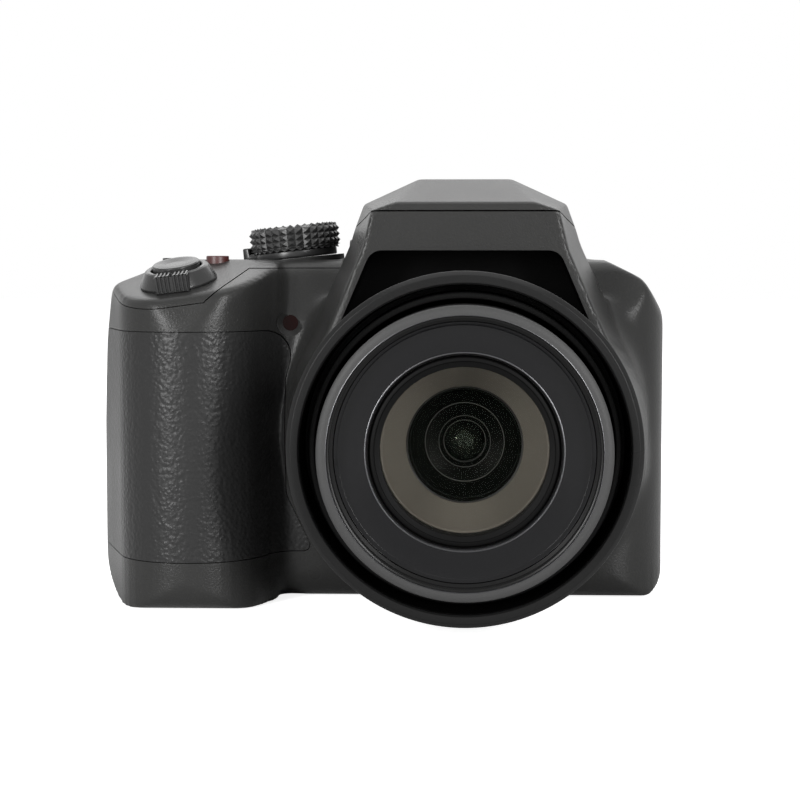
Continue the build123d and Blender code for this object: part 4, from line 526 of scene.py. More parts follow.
# Shell: a 2.4 mm wall of black ABS with a fine spark-eroded grain, from which four mouldings are parted.
# Behind the brow the space is open to the front.
WALL = 2.4
HOOD_WALL = 1.9
CAVITY_VOXEL = 1.0
RECESS_LEFT = -38


def sunk(piece, depth, voxel=None):
    """A copy of the piece with its skin moved inwards, made whole again."""
    inner = twin_of(piece)
    applied(inner, "DISPLACE", strength=-depth * MM, mid_level=0)
    if voxel:
        applied(inner, "REMESH", mode="VOXEL", voxel_size=voxel * MM)
    return inner


cavity = sunk(form, WALL, CAVITY_VOXEL)
cut(cavity, block((RECESS_LEFT, -FAR, -FAR), (FAR, -BODY_FRONT + WALL, BROW + HOOD_WALL)))
shell = cut(twin_of(form), cavity)

# Top plate: the lid over the grip that carries the controls, with a round seat for the mode dial.
# It is moulded in the shell's plastic and screwed down.
DECK_THICKNESS = 1.8
DECK_REAR = 20.0
DECK_END = -28.0
LEANING_END = -56.5
SLANT_START = -57.0
SLANT_END = -48.6
SLANT_LOW = 67.6
DIAL_PLACE = (-39.8, -2.0, 77.2)
DIAL_ROLL = 6.0
DIAL_SEAT = Matrix.Translation(Vector(DIAL_PLACE) * MM) @ Matrix.Rotation(radians(-DIAL_ROLL), 4, "Y")
DIAL_SEAT_RADIUS = 11.2
TOP_KEY_PLACES = ((-57.0, -15.5), (-67.5, -13.0))
TOP_KEY_HOLE = 2.9
TURNS = {"x": (0, pi / 2, 0), "y": (-pi / 2, 0, 0), "z": (0, 0, 0)}


def cone(centre, axis, low, high, low_radius, high_radius, sides=96):
    """A round bar or a cone along an axis, from its low end to its high end."""
    bpy.ops.mesh.primitive_cone_add(
        vertices=sides, radius1=low_radius * MM, radius2=high_radius * MM, depth=(high - low) * MM,
        location=on_axis(axis, (low + high) / 2, centre) * MM, rotation=TURNS[axis])
    return placed(bpy.context.object, "cone")


def rod(centre, axis, low, high, radius, sides=96):
    """A round bar along an axis."""
    return cone(centre, axis, low, high, radius, radius, sides)


def deck_zone(gap=0.0):
    """The space of the top plate over the grip: a layer under the leaning deck and the level one."""
    plate = DECK_THICKNESS + gap
    rear = DECK_REAR + gap
    leaning = block(SHUTTER_PLACE - Vector((FAR, FAR, plate)), SHUTTER_PLACE + Vector((FAR, FAR, 50)),
                    DECK_TURN, SHUTTER_PLACE)
    kept(leaning, block((-FAR, -FAR, 0), (LEANING_END + gap, rear, FAR)))
    level = block((-FAR, -FAR, DECK_TOP - plate), (DECK_END + gap, rear, 100))
    foot = ((SLANT_START + gap, SLANT_LOW - gap), (SLANT_END + gap, DECK_TOP - plate), (SLANT_END + gap, 100),
            (SLANT_START + gap, 100))
    return joined(leaning, level, prism(foot, "y", -FAR, rear))


def finish(name, colour, roughness, grain=0.3, depth=0.01, metal=0.0, specular=0.5, coat=0.0):
    """A moulded or machined surface: a grey or a colour, a fine grain and uneven gloss."""
    colour = colour if isinstance(colour, tuple) else (colour,) * 3
    material = bpy.data.materials.new(name)
    material.use_nodes = True
    tree = material.node_tree
    place = mixed(tree, "ShaderNodeTexCoord").outputs["Object"]
    fine = mixed(tree, "ShaderNodeTexNoise", Vector=place, Scale=1 / (grain * MM), Detail=3.0, Roughness=0.6)
    broad = mixed(tree, "ShaderNodeTexNoise", Vector=place, Scale=40.0, Detail=2.0, Roughness=0.5)
    relief = mixed(tree, "ShaderNodeBump", Strength=1.0, Distance=depth * MM, Height=fine.outputs["Fac"])
    blend = tree.nodes.new("ShaderNodeMix")
    blend.data_type = "RGBA"
    fed(tree, blend, A=(*[c * 0.8 for c in colour], 1), B=(*[min(1, c * 1.2) for c in colour], 1),
        Factor=fine.outputs["Fac"])
    fed(tree, tree.nodes["Principled BSDF"], Base_Color=blend.outputs["Result"], Metallic=metal,
        Roughness=worked(tree, "MULTIPLY_ADD", broad.outputs["Fac"], 0.16, roughness - 0.08),
        Normal=relief.outputs["Normal"], Specular_IOR_Level=specular, Coat_Weight=coat)
    return material


def dress(piece, name, material, body, *replaced, slot=None, angle=35):
    """The finished piece: its name and material, the body it moves with and the nodes it stands for."""
    placed(piece, name)
    piece.data.materials.clear()
    piece.data.materials.append(material)
    select_only(piece)
    bpy.ops.object.shade_smooth_by_angle(angle=radians(angle))
    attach(piece, body)
    for node in replaced:
        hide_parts(node)
    return piece


deck = kept(twin_of(shell), deck_zone())
cut(deck, twin_of(hood))
seat = rod((0, 0), "z", -3.0, 0, DIAL_SEAT_RADIUS)
seat.data.transform(DIAL_SEAT)
joined(deck, seat)
cut(deck, *[rod(place, "z", 60, 90, TOP_KEY_HOLE) for place in TOP_KEY_PLACES])
slots = {name: node.data.materials[0].name for name, node in nodes.items()}
shell_plastic = finish("shell_plastic", (0.021, 0.021, 0.0205), 0.3, grain=0.45, depth=0.07, specular=0.18)
dress(deck, "top_plate", shell_plastic, "body", "control_deck")

# Flash lid: the front of the hump in the shell's plastic, which swings up about a pin.
# It is parted from the covers along a line that falls towards the back, and is round about the pin.
FLASH_LINE_FRONT = 87.7
FLASH_LINE_REAR = 79.6
FLASH_HINGE = 3.0
FLASH_HINGE_HEIGHT = 90.2
FLASH_GAP = 0.35
HINGE_HALF = 20.5


def flash_zone(gap=0.0):
    """The space that the pop-up flash takes in the hump: above the parting line, round at the hinge."""
    slope = (FLASH_LINE_FRONT - FLASH_LINE_REAR) / (HOOD_FRONT + FLASH_HINGE)
    ahead = -HOOD_FRONT - 5
    rear = FLASH_HINGE + gap
    corners = ((ahead, FLASH_LINE_FRONT - slope * (ahead + HOOD_FRONT) - gap), (rear, FLASH_LINE_REAR - gap),
               (rear, HUMP_TOP + 5), (ahead, HUMP_TOP + 5))
    swing = HUMP_TOP - FLASH_HINGE_HEIGHT + gap
    hinge = (FLASH_HINGE, FLASH_HINGE_HEIGHT)
    return joined(
        prism(corners, "x", -FAR, FAR), rod(hinge, "x", -CROWN_HALF - 0.01, CROWN_HALF + 0.01, swing),
        cone(hinge, "x", CROWN_HALF, HINGE_HALF, swing, gap + 0.05),
        cone(hinge, "x", -HINGE_HALF, -CROWN_HALF, gap + 0.05, swing))


flash_cover = kept(twin_of(shell), flash_zone())
dress(flash_cover, "flash_lid", shell_plastic, "flash", "flash_cover")

# Rubber skins: soft leather-grained sheets 1.4 mm thick, glued into seats on the grip and under the thumb.
# Their grain is about a millimetre across, rounder and duller than the shell.
LEDGE = 0.18
GRIP_SEAT_DEPTH = 1.45
GRIP_SKIN = 1.4
THUMB_SEAT_DEPTH = 1.25
THUMB_SKIN = 1.2


def rubber_zone(gap=0.0):
    """Outline of the grip's rubber, seen from the front, as far back as the side of the grip."""
    corners = ((-90, 61.2 + gap), (-37.5 + gap, 61.2 + gap), (-40.5 + gap, 50), (-40.5 + gap, 24),
               (-34.3 + gap, 11 - gap), (-90, 11 - gap))
    return prism(rounded(corners, (0, 6, 6, 6, 1.5, 0)), "y", -FAR, 2 + gap)


def thumb_zone(gap=0.0):
    """Outline of the rubber for the thumb, at the back."""
    corners = ((-90, 34 - gap), (-90, 63 + gap), (-70 + gap, 63 + gap), (-70 + gap, 34 - gap))
    return prism(rounded(corners, (0, 0, 6, 6)), "y", BODY_REAR - 14 - gap, FAR)


def leather(name, colour, cell, depth):
    """Soft rubber with a leather grain of uneven cells."""
    material = finish(name, colour, 0.33, grain=0.35, depth=0.03, specular=0.19)
    tree = material.node_tree
    place = tree.nodes["Texture Coordinate"].outputs["Object"]
    wobble = mixed(tree, "ShaderNodeTexNoise", Vector=place, Scale=700.0, Detail=2.0)
    shifted = worked(tree, "MULTIPLY_ADD", wobble.outputs["Color"], (0.5 * MM,) * 3, place,
                     kind="ShaderNodeVectorMath")
    cells = mixed(tree, "ShaderNodeTexVoronoi", Vector=shifted, Scale=1 / (cell * MM))
    cells.feature = "SMOOTH_F1"
    first = next(node for node in tree.nodes if node.type == "BUMP")
    relief = mixed(tree, "ShaderNodeBump", Strength=1.0, Distance=-depth * MM,
                   Height=cells.outputs["Distance"], Normal=first.outputs["Normal"])
    fed(tree, tree.nodes["Principled BSDF"], Normal=relief.outputs["Normal"])
    return material


rubber_seat = cut(rubber_zone(LEDGE), sunk(form, GRIP_SEAT_DEPTH))
thumb_seat = cut(thumb_zone(LEDGE), sunk(form, THUMB_SEAT_DEPTH))
grip_rubber = cut(kept(twin_of(form), rubber_zone()), sunk(form, GRIP_SKIN))
cut(grip_rubber, twin_of(hood))
thumb_rubber = cut(kept(twin_of(form), thumb_zone()), sunk(form, THUMB_SKIN))
cut(rubber_seat, hood)
rubber_skin = leather("rubber_skin", 0.018, 0.85, 0.13)
dress(grip_rubber, "grip_skin", rubber_skin, "body", "grip_rubber")
dress(thumb_rubber, "thumb_skin", rubber_skin, "body", "thumb_rubber")
bpy.data.objects.remove(form)

# Covers: the front and rear mouldings, parted just behind the shutter button and screwed together.
# Seats and openings leave a thin shadow line round the skins, doors and lugs that fill them.
SHELL_SPLIT = 4.0
SEAM = 0.08
KEY_GAP = 0.3
TRIPOD_HOLE = 4.6
LUG_DEPTH = 9.1
LUG_SLOT_LOW = (-2.1, 61.4)
LUG_SLOT_HIGH = (0.3, 69.6)
BASE_TRIM = -0.05


def box_of(node):
    """The corners of a node's box in millimetres."""
    return [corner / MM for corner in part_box(node)]


def door_hole(name, low_grow, high_grow):
    """The opening for a door, from its node's box."""
    low, high = box_of(name)
    return block(low - Vector(low_grow), high + Vector(high_grow))


def lug_hole(side):
    """The slot in the flank for a strap lug."""
    edge = PLAIN_SIDE if side > 0 else -GRIP_SIDE
    low, high = sorted((edge - side * LUG_DEPTH, edge))
    return block((low, *LUG_SLOT_LOW), (high, *LUG_SLOT_HIGH))


cut(shell, block((-FAR, -FAR, -FAR), (FAR, FAR, BASE_TRIM)), deck_zone(LEDGE), flash_zone(FLASH_GAP),
    rod((0, 0), "z", -1, 5, TRIPOD_HOLE), lug_hole(1), lug_hole(-1),
    door_hole("battery_door", (KEY_GAP, KEY_GAP, 2), (KEY_GAP, KEY_GAP, 4)), rubber_seat, thumb_seat)

# Front cover: it carries the hood, the dished seat of the focus lamp and the hole of the flash button.
# The space round the lens and under the brow is painted near black, as painted shade for the shadow that
# falls in the recess.
BARREL_RADIUS = 35.0
RECESS_STEPS = 96
LAMP_PLACE = (-39.4, 62.7)
LAMP_RADIUS = 1.75
LAMP_DISH = 3.0
LAMP_DEPTH = 0.7
RELEASE_PLACE = (-14.0, 79.3)
RELEASE_HOLE = 2.5
ARCH_FOOT = 60
ARCH_SLOPE = 0.43


def lens_recess():
    """The dark space under the brow and round the barrel, open to the front."""
    radius, foot, brow_half = HOOD_RADIUS - HOOD_WALL, HOOD_FOOT - HOOD_WALL, BROW_HALF - HOOD_WALL
    foot_z = LENS_HEIGHT + sqrt(radius**2 - foot**2)
    top = rounded(((foot, foot_z), (brow_half, BROW), (-brow_half, BROW), (-foot, foot_z)), (0, 3.6, 3.6, 0))
    start = atan2(foot_z - LENS_HEIGHT, foot)
    sweep = pi + 2 * start
    ring = [pi - start + sweep * step / RECESS_STEPS for step in range(1, RECESS_STEPS)]
    ring = [Vector((radius * cos(a), LENS_HEIGHT + radius * sin(a))) for a in ring]
    return prism(top + ring, "y", -HOOD_FRONT - 5, -BODY_FRONT - WALL)


def from_axis(point):
    """How far a point is from the axis of the lens."""
    return sqrt(point.x**2 + (point.z - LENS_HEIGHT) ** 2)


def in_recess(point):
    """Whether a point lies in the dark space round the barrel and under the brow, which gets painted shade.
    """
    deep = -HOOD_FRONT + 0.4 < point.y < -BODY_FRONT + 4
    round_lens = from_axis(point) < HOOD_RADIUS - HOOD_WALL + 0.05
    under_brow = abs(point.x) < BROW_HALF + 8 and LENS_HEIGHT < point.z < BROW + 0.05
    arch = abs(point.x) < HOOD_FOOT - HOOD_WALL - (point.z - ARCH_FOOT) * ARCH_SLOPE + 0.3
    return deep and (round_lens or under_brow and arch)


def painted(piece, material, inside):
    """Gives one more finish to the faces whose middle, in millimetres, is inside."""
    piece.data.materials.append(material)
    for polygon in piece.data.polygons:
        if inside(polygon.center / MM):
            polygon.material_index = len(piece.data.materials) - 1


front_cover = kept(twin_of(shell), block((-FAR, -FAR, -1), (FAR, SHELL_SPLIT - SEAM, FAR)))
cut(front_cover, lens_recess(), rod((0, LENS_HEIGHT), "y", -FAR, 0, BARREL_RADIUS + 0.1),
    rod(LAMP_PLACE, "y", -BODY_FRONT - 6, -BODY_FRONT - 0.2, LAMP_DISH),
    cone(LAMP_PLACE, "y", -BODY_FRONT - 0.21, -BODY_FRONT + LAMP_DEPTH, LAMP_DISH, LAMP_RADIUS),
    rod(LAMP_PLACE, "y", -BODY_FRONT - 5, 0, LAMP_RADIUS + 0.02),
    rod(RELEASE_PLACE, "x", -FAR, -15, RELEASE_HOLE))
dress(front_cover, "front_shell", shell_plastic, "body", "front_cover")
# Painted shade: the recess faces get a near-black, hardly glossy finish for the shadow round the lens and
# under the brow.
recess_black = finish("recess_black", 0.0015, 0.5, grain=0.4, depth=0.01, specular=0.03)
painted(front_cover, recess_black, in_recess)

# Rear cover: it frames the screen and the eyepiece, and keys, wheels and sockets come through it.
# Each opening is cut a hair wider than the piece that fills it.
SCREEN_CENTRE = (3.0, 33.5)
SCREEN_SIZE = (72.0, 55.0)
SCREEN_CORNER = 2.5
SCREEN_LIP = 6
EYEPIECE_SIZE = (19.0, 10.5)
EYEPIECE_HEIGHT = 82.0
KEY_FLANGE = 0.8
ROUND_KEYS = ("view", "lock", "play", "quick_menu", "display", "delete", "menu")
THUMB_WHEEL_PLACE = (-64.0, 20.4)
THUMB_WHEEL_HEIGHT = 67
THUMB_WHEEL_SLOT = 2.8
THUMB_WHEEL_HOLE = 7.7
DIOPTER_PLACE = (17.0, 81.0)
DIOPTER_HOLE = 3.7
SOCKET_HEIGHTS = (35, 46)


def pill(centre, size, corner):
    """Corners of a rounded rectangle about its centre."""
    (x, z), (width, height) = centre, (size[0] / 2, size[1] / 2)
    points = ((x - width, z - height), (x + width, z - height), (x + width, z + height),
              (x - width, z + height))
    return rounded(points, (corner,) * 4)


def middle_of(node):
    """The middle of a node's box, seen along the lens."""
    low, high = box_of(node)
    return (low.x + high.x) / 2, (low.z + high.z) / 2


def key_hole(name):
    """The hole through the back for a round key, from its node's box."""
    low, high = box_of(f"{name}_button")
    radius = (high.x - low.x) / 2 - KEY_FLANGE + KEY_GAP
    return rod(middle_of(f"{name}_button"), "y", 20, 40, radius)


def pad_hole():
    """The hole through the back for the four direction keys."""
    centre = middle_of("menu_button")
    reach = box_of("left_key")[1].x - centre[0]
    return rod(centre, "y", BODY_REAR - 6, BODY_REAR + 5, reach + KEY_GAP)


rear_cover = kept(shell, block((-FAR, SHELL_SPLIT + SEAM, -1), (FAR, FAR, FAR)))
screen_hole = prism(pill(SCREEN_CENTRE, [v + 2 * LEDGE for v in SCREEN_SIZE], SCREEN_CORNER), "y",
                    BODY_REAR - 1.5, BODY_REAR + 5)
screen_window = prism(pill(SCREEN_CENTRE, [v - SCREEN_LIP for v in SCREEN_SIZE], SCREEN_CORNER), "y",
                      10, BODY_REAR + 5)
eyepiece_hole = prism(pill((0, EYEPIECE_HEIGHT), EYEPIECE_SIZE, SCREEN_CORNER), "y", 20, 40)
cut(rear_cover, screen_hole, screen_window, eyepiece_hole, pad_hole(), *[key_hole(key) for key in ROUND_KEYS],
    rod(THUMB_WHEEL_PLACE, "z", THUMB_WHEEL_HEIGHT - THUMB_WHEEL_SLOT, THUMB_WHEEL_HEIGHT + THUMB_WHEEL_SLOT,
        THUMB_WHEEL_HOLE),
    rod(DIOPTER_PLACE, "x", 23.3, FAR, DIOPTER_HOLE),
    door_hole("terminal_door", (KEY_GAP,) * 3, (5, KEY_GAP, KEY_GAP)),
    *[block((40, 9.2, height), (50, 14.8, height + 7)) for height in SOCKET_HEIGHTS])
dress(rear_cover, "rear_shell", shell_plastic, "body", "rear_cover")

# Trim ring: a black anodised ring pressed over the end of the fixed barrel, with a chamfer and a lip.
# It is the widest ring of the lens, and the zoom stages come out through it.
LENS_STEPS = 192


def turned(profile, steps, centre=(0, LENS_HEIGHT), closed=True):
    """A piece turned about an axis that runs from front to back, from its profile of radii and depths."""
    x, z = centre
    edges = [(i, i + 1) for i in range(len(profile) - 1)]
    if closed:
        edges.append((len(profile) - 1, 0))
    return edited(meshed([(x + radius, depth, z) for radius, depth in profile], edges, []),
                  lambda: bpy.ops.mesh.spin(
                      steps=steps, angle=2 * pi, center=(x * MM, 0, z * MM), axis=(0, 1, 0)),
                  lambda: bpy.ops.mesh.remove_doubles(threshold=0.5e-6),
                  bpy.ops.mesh.normals_make_consistent)


ring_black = finish("ring_black", 0.008, 0.3, grain=0.25, depth=0.01, specular=0.14)
trim_ring = turned(rounded(
    ((35.02, -63.0), (36.3, -63.0), (36.3, -73.1), (35.4, -74.0), (33.95, -74.0), (33.6, -73.6),
     (33.6, -72.05), (35.02, -72.05)), (0, 0.4, 0.25, 0.25, 0.12, 0.12, 0, 0), 3), LENS_STEPS)
dress(trim_ring, "trim_ring", ring_black, "body", "outer_ring", angle=28)

# Outer zoom stage: a plain tube with a satin black wall that slides in the fixed barrel.
# Its inside and its front edge get a near-black, barely glossy finish as painted shade, so that only a dark
# gap shows when the lens is in.
STAGE_EDGE = -69.5
STAGE_INSIDE = 31
outer_stage = turned(rounded(
    ((32.0, -14.0), (32.0, -70.0), (30.7, -70.0), (30.7, -14.0)), (0.2, 0.45, 0.3, 0.2), 3), LENS_STEPS)
stage_black = finish("stage_black", 0.011, 0.34, grain=0.3, depth=0.015, specular=0.22)
tube_black = finish("tube_black", 0.004, 0.45, grain=0.25, depth=0.01, specular=0.05)
dress(outer_stage, "outer_stage_tube", stage_black, "outer_stage", "outer_zoom_barrel", angle=28)
# Painted shade: the front edge and the inside take the near-black finish that stands for the shadow in the
# gap.
painted(outer_stage, tube_black, lambda point: point.y < STAGE_EDGE or from_axis(point) < STAGE_INSIDE)

# Inner zoom stage: a tube with a matt textured rim and a filter thread just inside it, one turned piece.
# Its wall is satin black, the thread is blackened and a bright line is left where thread and rim meet.
THREAD_PITCH = 0.75
THREAD_TURNS = 4
THREAD_START = -81.6
RIM_BACK = -81.2
THREAD_REACH = 27.48
WALL_REACH = 29
rim_profile = [(30.4, -18.0), (30.4, -21.5), (29.65, -22.0), (29.65, -81.1), (29.45, -81.6), (29.0, -81.9),
               (28.3, -82.0), (27.75, -82.0), (27.5, -81.75)]
for turn in range(THREAD_TURNS):
    front = THREAD_START + THREAD_PITCH * turn
    rim_profile += [(27.1, front), (27.1, front + 0.2), (27.32, front + 0.4), (27.32, front + 0.55)]
rim_profile += [(27.1, -78.4), (26.45, -78.0), (26.4, -75.6), (19.4, -75.6), (18.75, -75.4), (18.75, -69.4),
                (17.4, -69.2), (17.4, -68.8), (28.05, -68.8), (28.05, -18.0)]
rim_grey = finish("rim_grey", 0.036, 0.5, grain=0.35, depth=0.04, specular=0.2)
thread_black = finish("thread_black", 0.004, 0.3, grain=0.4, depth=0.004, specular=0.15)
inner_stage = turned(rim_profile, LENS_STEPS)
dress(inner_stage, "inner_stage_tube", rim_grey, "inner_stage", "inner_zoom_barrel", angle=28)
painted(inner_stage, thread_black, lambda point: from_axis(point) < THREAD_REACH)
painted(inner_stage, stage_black, lambda point: point.y > RIM_BACK and from_axis(point) > WALL_REACH)
bright_edge = finish("bright_edge", (0.07, 0.07, 0.073), 0.3, grain=0.3, depth=0.002, metal=1.0)
thread_line = turned(rounded(
    ((27.78, -81.98), (27.6, -82.03), (27.46, -81.8), (27.52, -81.7)), (0.02,) * 4, 2), LENS_STEPS)
dress(thread_line, "thread_line", bright_edge, "inner_stage", slot="rim_metal", angle=60)

# Name ring: a bare glossy black ring glued in front of the glass, bevelled at the outside.
# A thin bright edge is turned on its inner side.
plate_black = finish("plate_black", (0.004, 0.004, 0.0045), 0.16, grain=0.5, depth=0.0008, specular=0.2)
name_plate = turned(rounded(
    ((26.3, -78.0), (25.5, -77.1), (20.2, -77.1), (20.2, -76.0), (20.2, -75.65), (26.3, -75.65)),
    (0.05, 0.12, 0.02, 0, 0, 0), 3), LENS_STEPS)
dress(name_plate, "name_plate", plate_black, "inner_stage", "name_ring", angle=25)
plate_edge = turned(rounded(
    ((20.2, -77.2), (19.95, -77.25), (19.5, -76.7), (19.5, -75.65), (20.18, -75.65)),
    (0.05, 0.08, 0.08, 0, 0), 3), LENS_STEPS)
dress(plate_edge, "name_plate_edge", bright_edge, "inner_stage", slot="name_plate", angle=50)

# Baffle: a grey-brown moulded cone that narrows behind the front glass to the aperture of the second group.
# It is pressed into the inner stage, and its rim catches a little light.
BAFFLE_STEPS = 160
baffle_grey = finish("baffle_grey", (0.1, 0.094, 0.084), 0.42, grain=0.6, depth=0.004, specular=0.3)
baffle = turned(rounded(
    ((17.35, -69.1), (17.05, -69.1), (16.7, -68.6), (12.25, -60.3), (12.0, -60.2), (12.0, -59.6),
     (12.6, -59.6), (17.35, -67.6)), (0.05, 0.1, 0.3, 0.1, 0, 0, 0, 0), 3), BAFFLE_STEPS)
dress(baffle, "baffle_cone", baffle_grey, "inner_stage", slot="inner_plastic", angle=30)
baffle_edge = turned(rounded(
    ((12.25, -60.4), (12.1, -60.5), (11.85, -60.3), (11.95, -60.1)), (0.03,) * 4, 2), BAFFLE_STEPS)
dress(baffle_edge, "baffle_edge", bright_edge, "inner_stage", slot="inner_plastic", angle=60)

# Front glass: a coated meniscus held by a black ring, ground and edged in black.
# Its coating leaves faint greenish reflections of the two soft boxes.
GLASS_STEPS = 128


def glass(name, clear, shine, gloss_tint, roughness=0.02):
    """Thin coated glass: clear where it faces the eye, with a faint tinted reflection."""
    material = bpy.data.materials.new(name)
    material.use_nodes = True
    tree = material.node_tree
    tree.nodes.remove(tree.nodes["Principled BSDF"])
    place = mixed(tree, "ShaderNodeTexCoord").outputs["Object"]
    haze = mixed(tree, "ShaderNodeTexNoise", Vector=place, Scale=60.0, Detail=2.0)
    rough = worked(tree, "MULTIPLY_ADD", haze.outputs["Fac"], roughness, roughness / 2)
    through = mixed(tree, "ShaderNodeBsdfTransparent", Color=(*clear, 1))
    mirror = mixed(tree, "ShaderNodeBsdfGlossy", Color=(*gloss_tint, 1), Roughness=rough)
    edge = mixed(tree, "ShaderNodeFresnel", IOR=1.5)
    share = worked(tree, "MULTIPLY", edge.outputs[0], shine)
    both = tree.nodes.new("ShaderNodeMixShader")
    for socket, source in zip(both.inputs, (share, through.outputs[0], mirror.outputs[0])):
        fill(tree, socket, source)
    fed(tree, tree.nodes["Material Output"], Surface=both.outputs[0])
    return material


def crown(radius, depth, rise, steps=14):
    """Points of a domed surface from its rim to the axis, bulging towards the front."""
    sphere = (radius**2 + rise**2) / (2 * rise)
    reach = asin(min(1, radius / sphere))
    angles = [reach * (1 - step / steps) for step in range(steps + 1)]
    return [(sphere * sin(a), depth + (sphere - rise) - sphere * cos(a)) for a in angles]


front_glass_finish = glass("front_glass", (0.95, 0.94, 0.92), 0.04, (0.75, 0.95, 0.85))
front_profile = [(0.0, -70.4), (16.9, -69.7), (18.6, -69.7), (18.6, -75.3)] + crown(18.1, -75.5, 2.2)
front_glass = turned(front_profile, GLASS_STEPS, closed=False)
dress(front_glass, "front_glass_lens", front_glass_finish, "inner_stage", "front_element", angle=30)
# Near black with hardly any gloss: the real black of the glass ring, and painted shade on the tubes deep in
# the lens's gap.
gap_black = finish("gap_black", 0.002, 0.5, grain=0.4, depth=0.01, specular=0.06)
glass_ring = turned(rounded(
    ((19.45, -75.7), (19.0, -76.3), (18.35, -76.45), (18.15, -76.2), (17.1, -76.0), (17.1, -75.75),
     (19.45, -75.6)), (0.05, 0.15, 0.1, 0.05, 0.05, 0, 0), 3), LENS_STEPS)
dress(glass_ring, "front_glass_ring", gap_black, "inner_stage", slot="inner_plastic", angle=30)

# Second group: a stepped black cell that carries a small strong lens, sliding with the zoom; its near-black,
# glossless finish is partly painted shade.
# The steps' edges are turned bare, and the lens mirrors the soft boxes as two small spots.
BEAD_STEPS = 96
CELL_CIRCLES = ((8.4, -53.95), (5.5, -52.6), (4.5, -51.62))
# Painted shade: the cell is near black with almost no gloss, for the shadow deep inside the lens as well as
# its own black.
well_black = finish("well_black", (0.0015, 0.0018, 0.0015), 0.4, grain=0.6, depth=0.001, specular=0.02)
second_group = turned(rounded(
    ((27.8, -49.2), (27.8, -51.5), (13.0, -53.5), (12.9, -57.6), (12.6, -58.0), (11.6, -58.0),
     (11.4, -57.0), (8.5, -54.0), (8.3, -53.6), (5.6, -52.6), (5.4, -52.2), (4.6, -51.6), (4.4, -51.2),
     (4.4, -49.6), (0.0, -49.4), (0.0, -49.05), (27.8, -49.05)),
    (0, 0.4, 0.3, 0.2, 0.2, 0.3, 0.2, 0.2, 0, 0.2, 0, 0.1, 0, 0, 0, 0, 0), 3), GLASS_STEPS, closed=False)
dress(second_group, "second_group_cell", well_black, "second_group", "second_group", angle=30)
edge_grey = finish("edge_grey", 0.05, 0.35, grain=0.3, depth=0.004, specular=0.2)
for radius, depth in CELL_CIRCLES:
    circle = turned(rounded(
        ((radius + 0.06, depth), (radius - 0.06, depth - 0.05), (radius - 0.1, depth + 0.1),
         (radius + 0.05, depth + 0.12)), (0.01,) * 4, 1), GLASS_STEPS)
    dress(circle, "cell_edge_%d" % (radius * 10), edge_grey, "second_group", slot="coated_glass", angle=60)
bead_finish = glass("bead_glass", (0.4, 0.42, 0.4), 0.5, (0.78, 0.95, 0.8), 0.04)
bead_profile = [(0.0, -49.7), (4.3, -49.7)] + crown(4.3, -50.2, 1.45)
bead = turned(bead_profile, BEAD_STEPS, closed=False)
dress(bead, "second_group_bead", bead_finish, "second_group", slot="coated_glass", angle=30)

# Shutter button: a dished cap of black plastic that stands in the zoom lever, with a rounded rim.
# It is turned about the leaning axis of the deck.
CONTROL_STEPS = 96


def on_deck(piece):
    """Moves the piece from its own axes to the shutter button's place on the deck."""
    piece.data.transform(Matrix.Translation(SHUTTER_PLACE * MM) @ DECK_TURN)


def spun(profile, steps, closed=False):
    """A piece turned about its own upright axis, from radii and heights."""
    piece = turned(profile, steps, centre=(0, 0), closed=closed)
    piece.data.transform(Matrix.Rotation(pi / 2, 4, "X"))
    return edited(piece, bpy.ops.mesh.normals_make_consistent)


control_black = finish("control_black", 0.019, 0.27, grain=0.3, depth=0.01, specular=0.38)
shutter = spun(rounded(
    ((0.0, 1.7), (5.3, 1.7), (5.3, 4.35), (5.0, 4.6), (4.4, 4.55), (2.4, 4.2), (0.0, 4.05)),
    (0, 0, 0.2, 0.2, 0.3, 0.5, 0), 4), CONTROL_STEPS)
on_deck(shutter)
dress(shutter, "shutter_cap", control_black, "shutter_button", "shutter_button", angle=30)

# Zoom lever: a conical ring round the shutter button with a tab at its front, in black plastic.
# The tab has eight ribs up its front and over its top, in two groups of four.
TAB_HALF = 3.7
TAB_FRONT = -9.35
TAB_TOP = 3.75
TAB_RIBS = 8
RIB_PITCH = 2 * TAB_HALF / 8.6
RIB_ROUND = RIB_PITCH * 0.36
lever = spun(rounded(
    ((5.75, 0.6), (8.6, 0.15), (8.62, 0.5), (7.1, 3.35), (6.6, 3.6), (5.95, 3.6), (5.75, 3.4)),
    (0, 0, 0.2, 0.5, 0.3, 0.1, 0.1), 4), CONTROL_STEPS, closed=True)
tab = block((-TAB_HALF, TAB_FRONT, 0.15), (TAB_HALF, -5.95, TAB_TOP))
ribs = []
for step in range(TAB_RIBS):
    x = (step - 3.5) * RIB_PITCH + (0.3 if step > 3 else -0.3) * RIB_PITCH
    ribs.append(rod((x, TAB_FRONT - 0.02), "z", 0.3, 4.1, RIB_ROUND, sides=20))
    ribs.append(rod((x, TAB_TOP), "y", TAB_FRONT, -6.2, RIB_ROUND, sides=20))
joined(lever, tab, *ribs)
on_deck(lever)
dress(lever, "zoom_ring", control_black, "zoom_lever", "zoom_lever", angle=40)

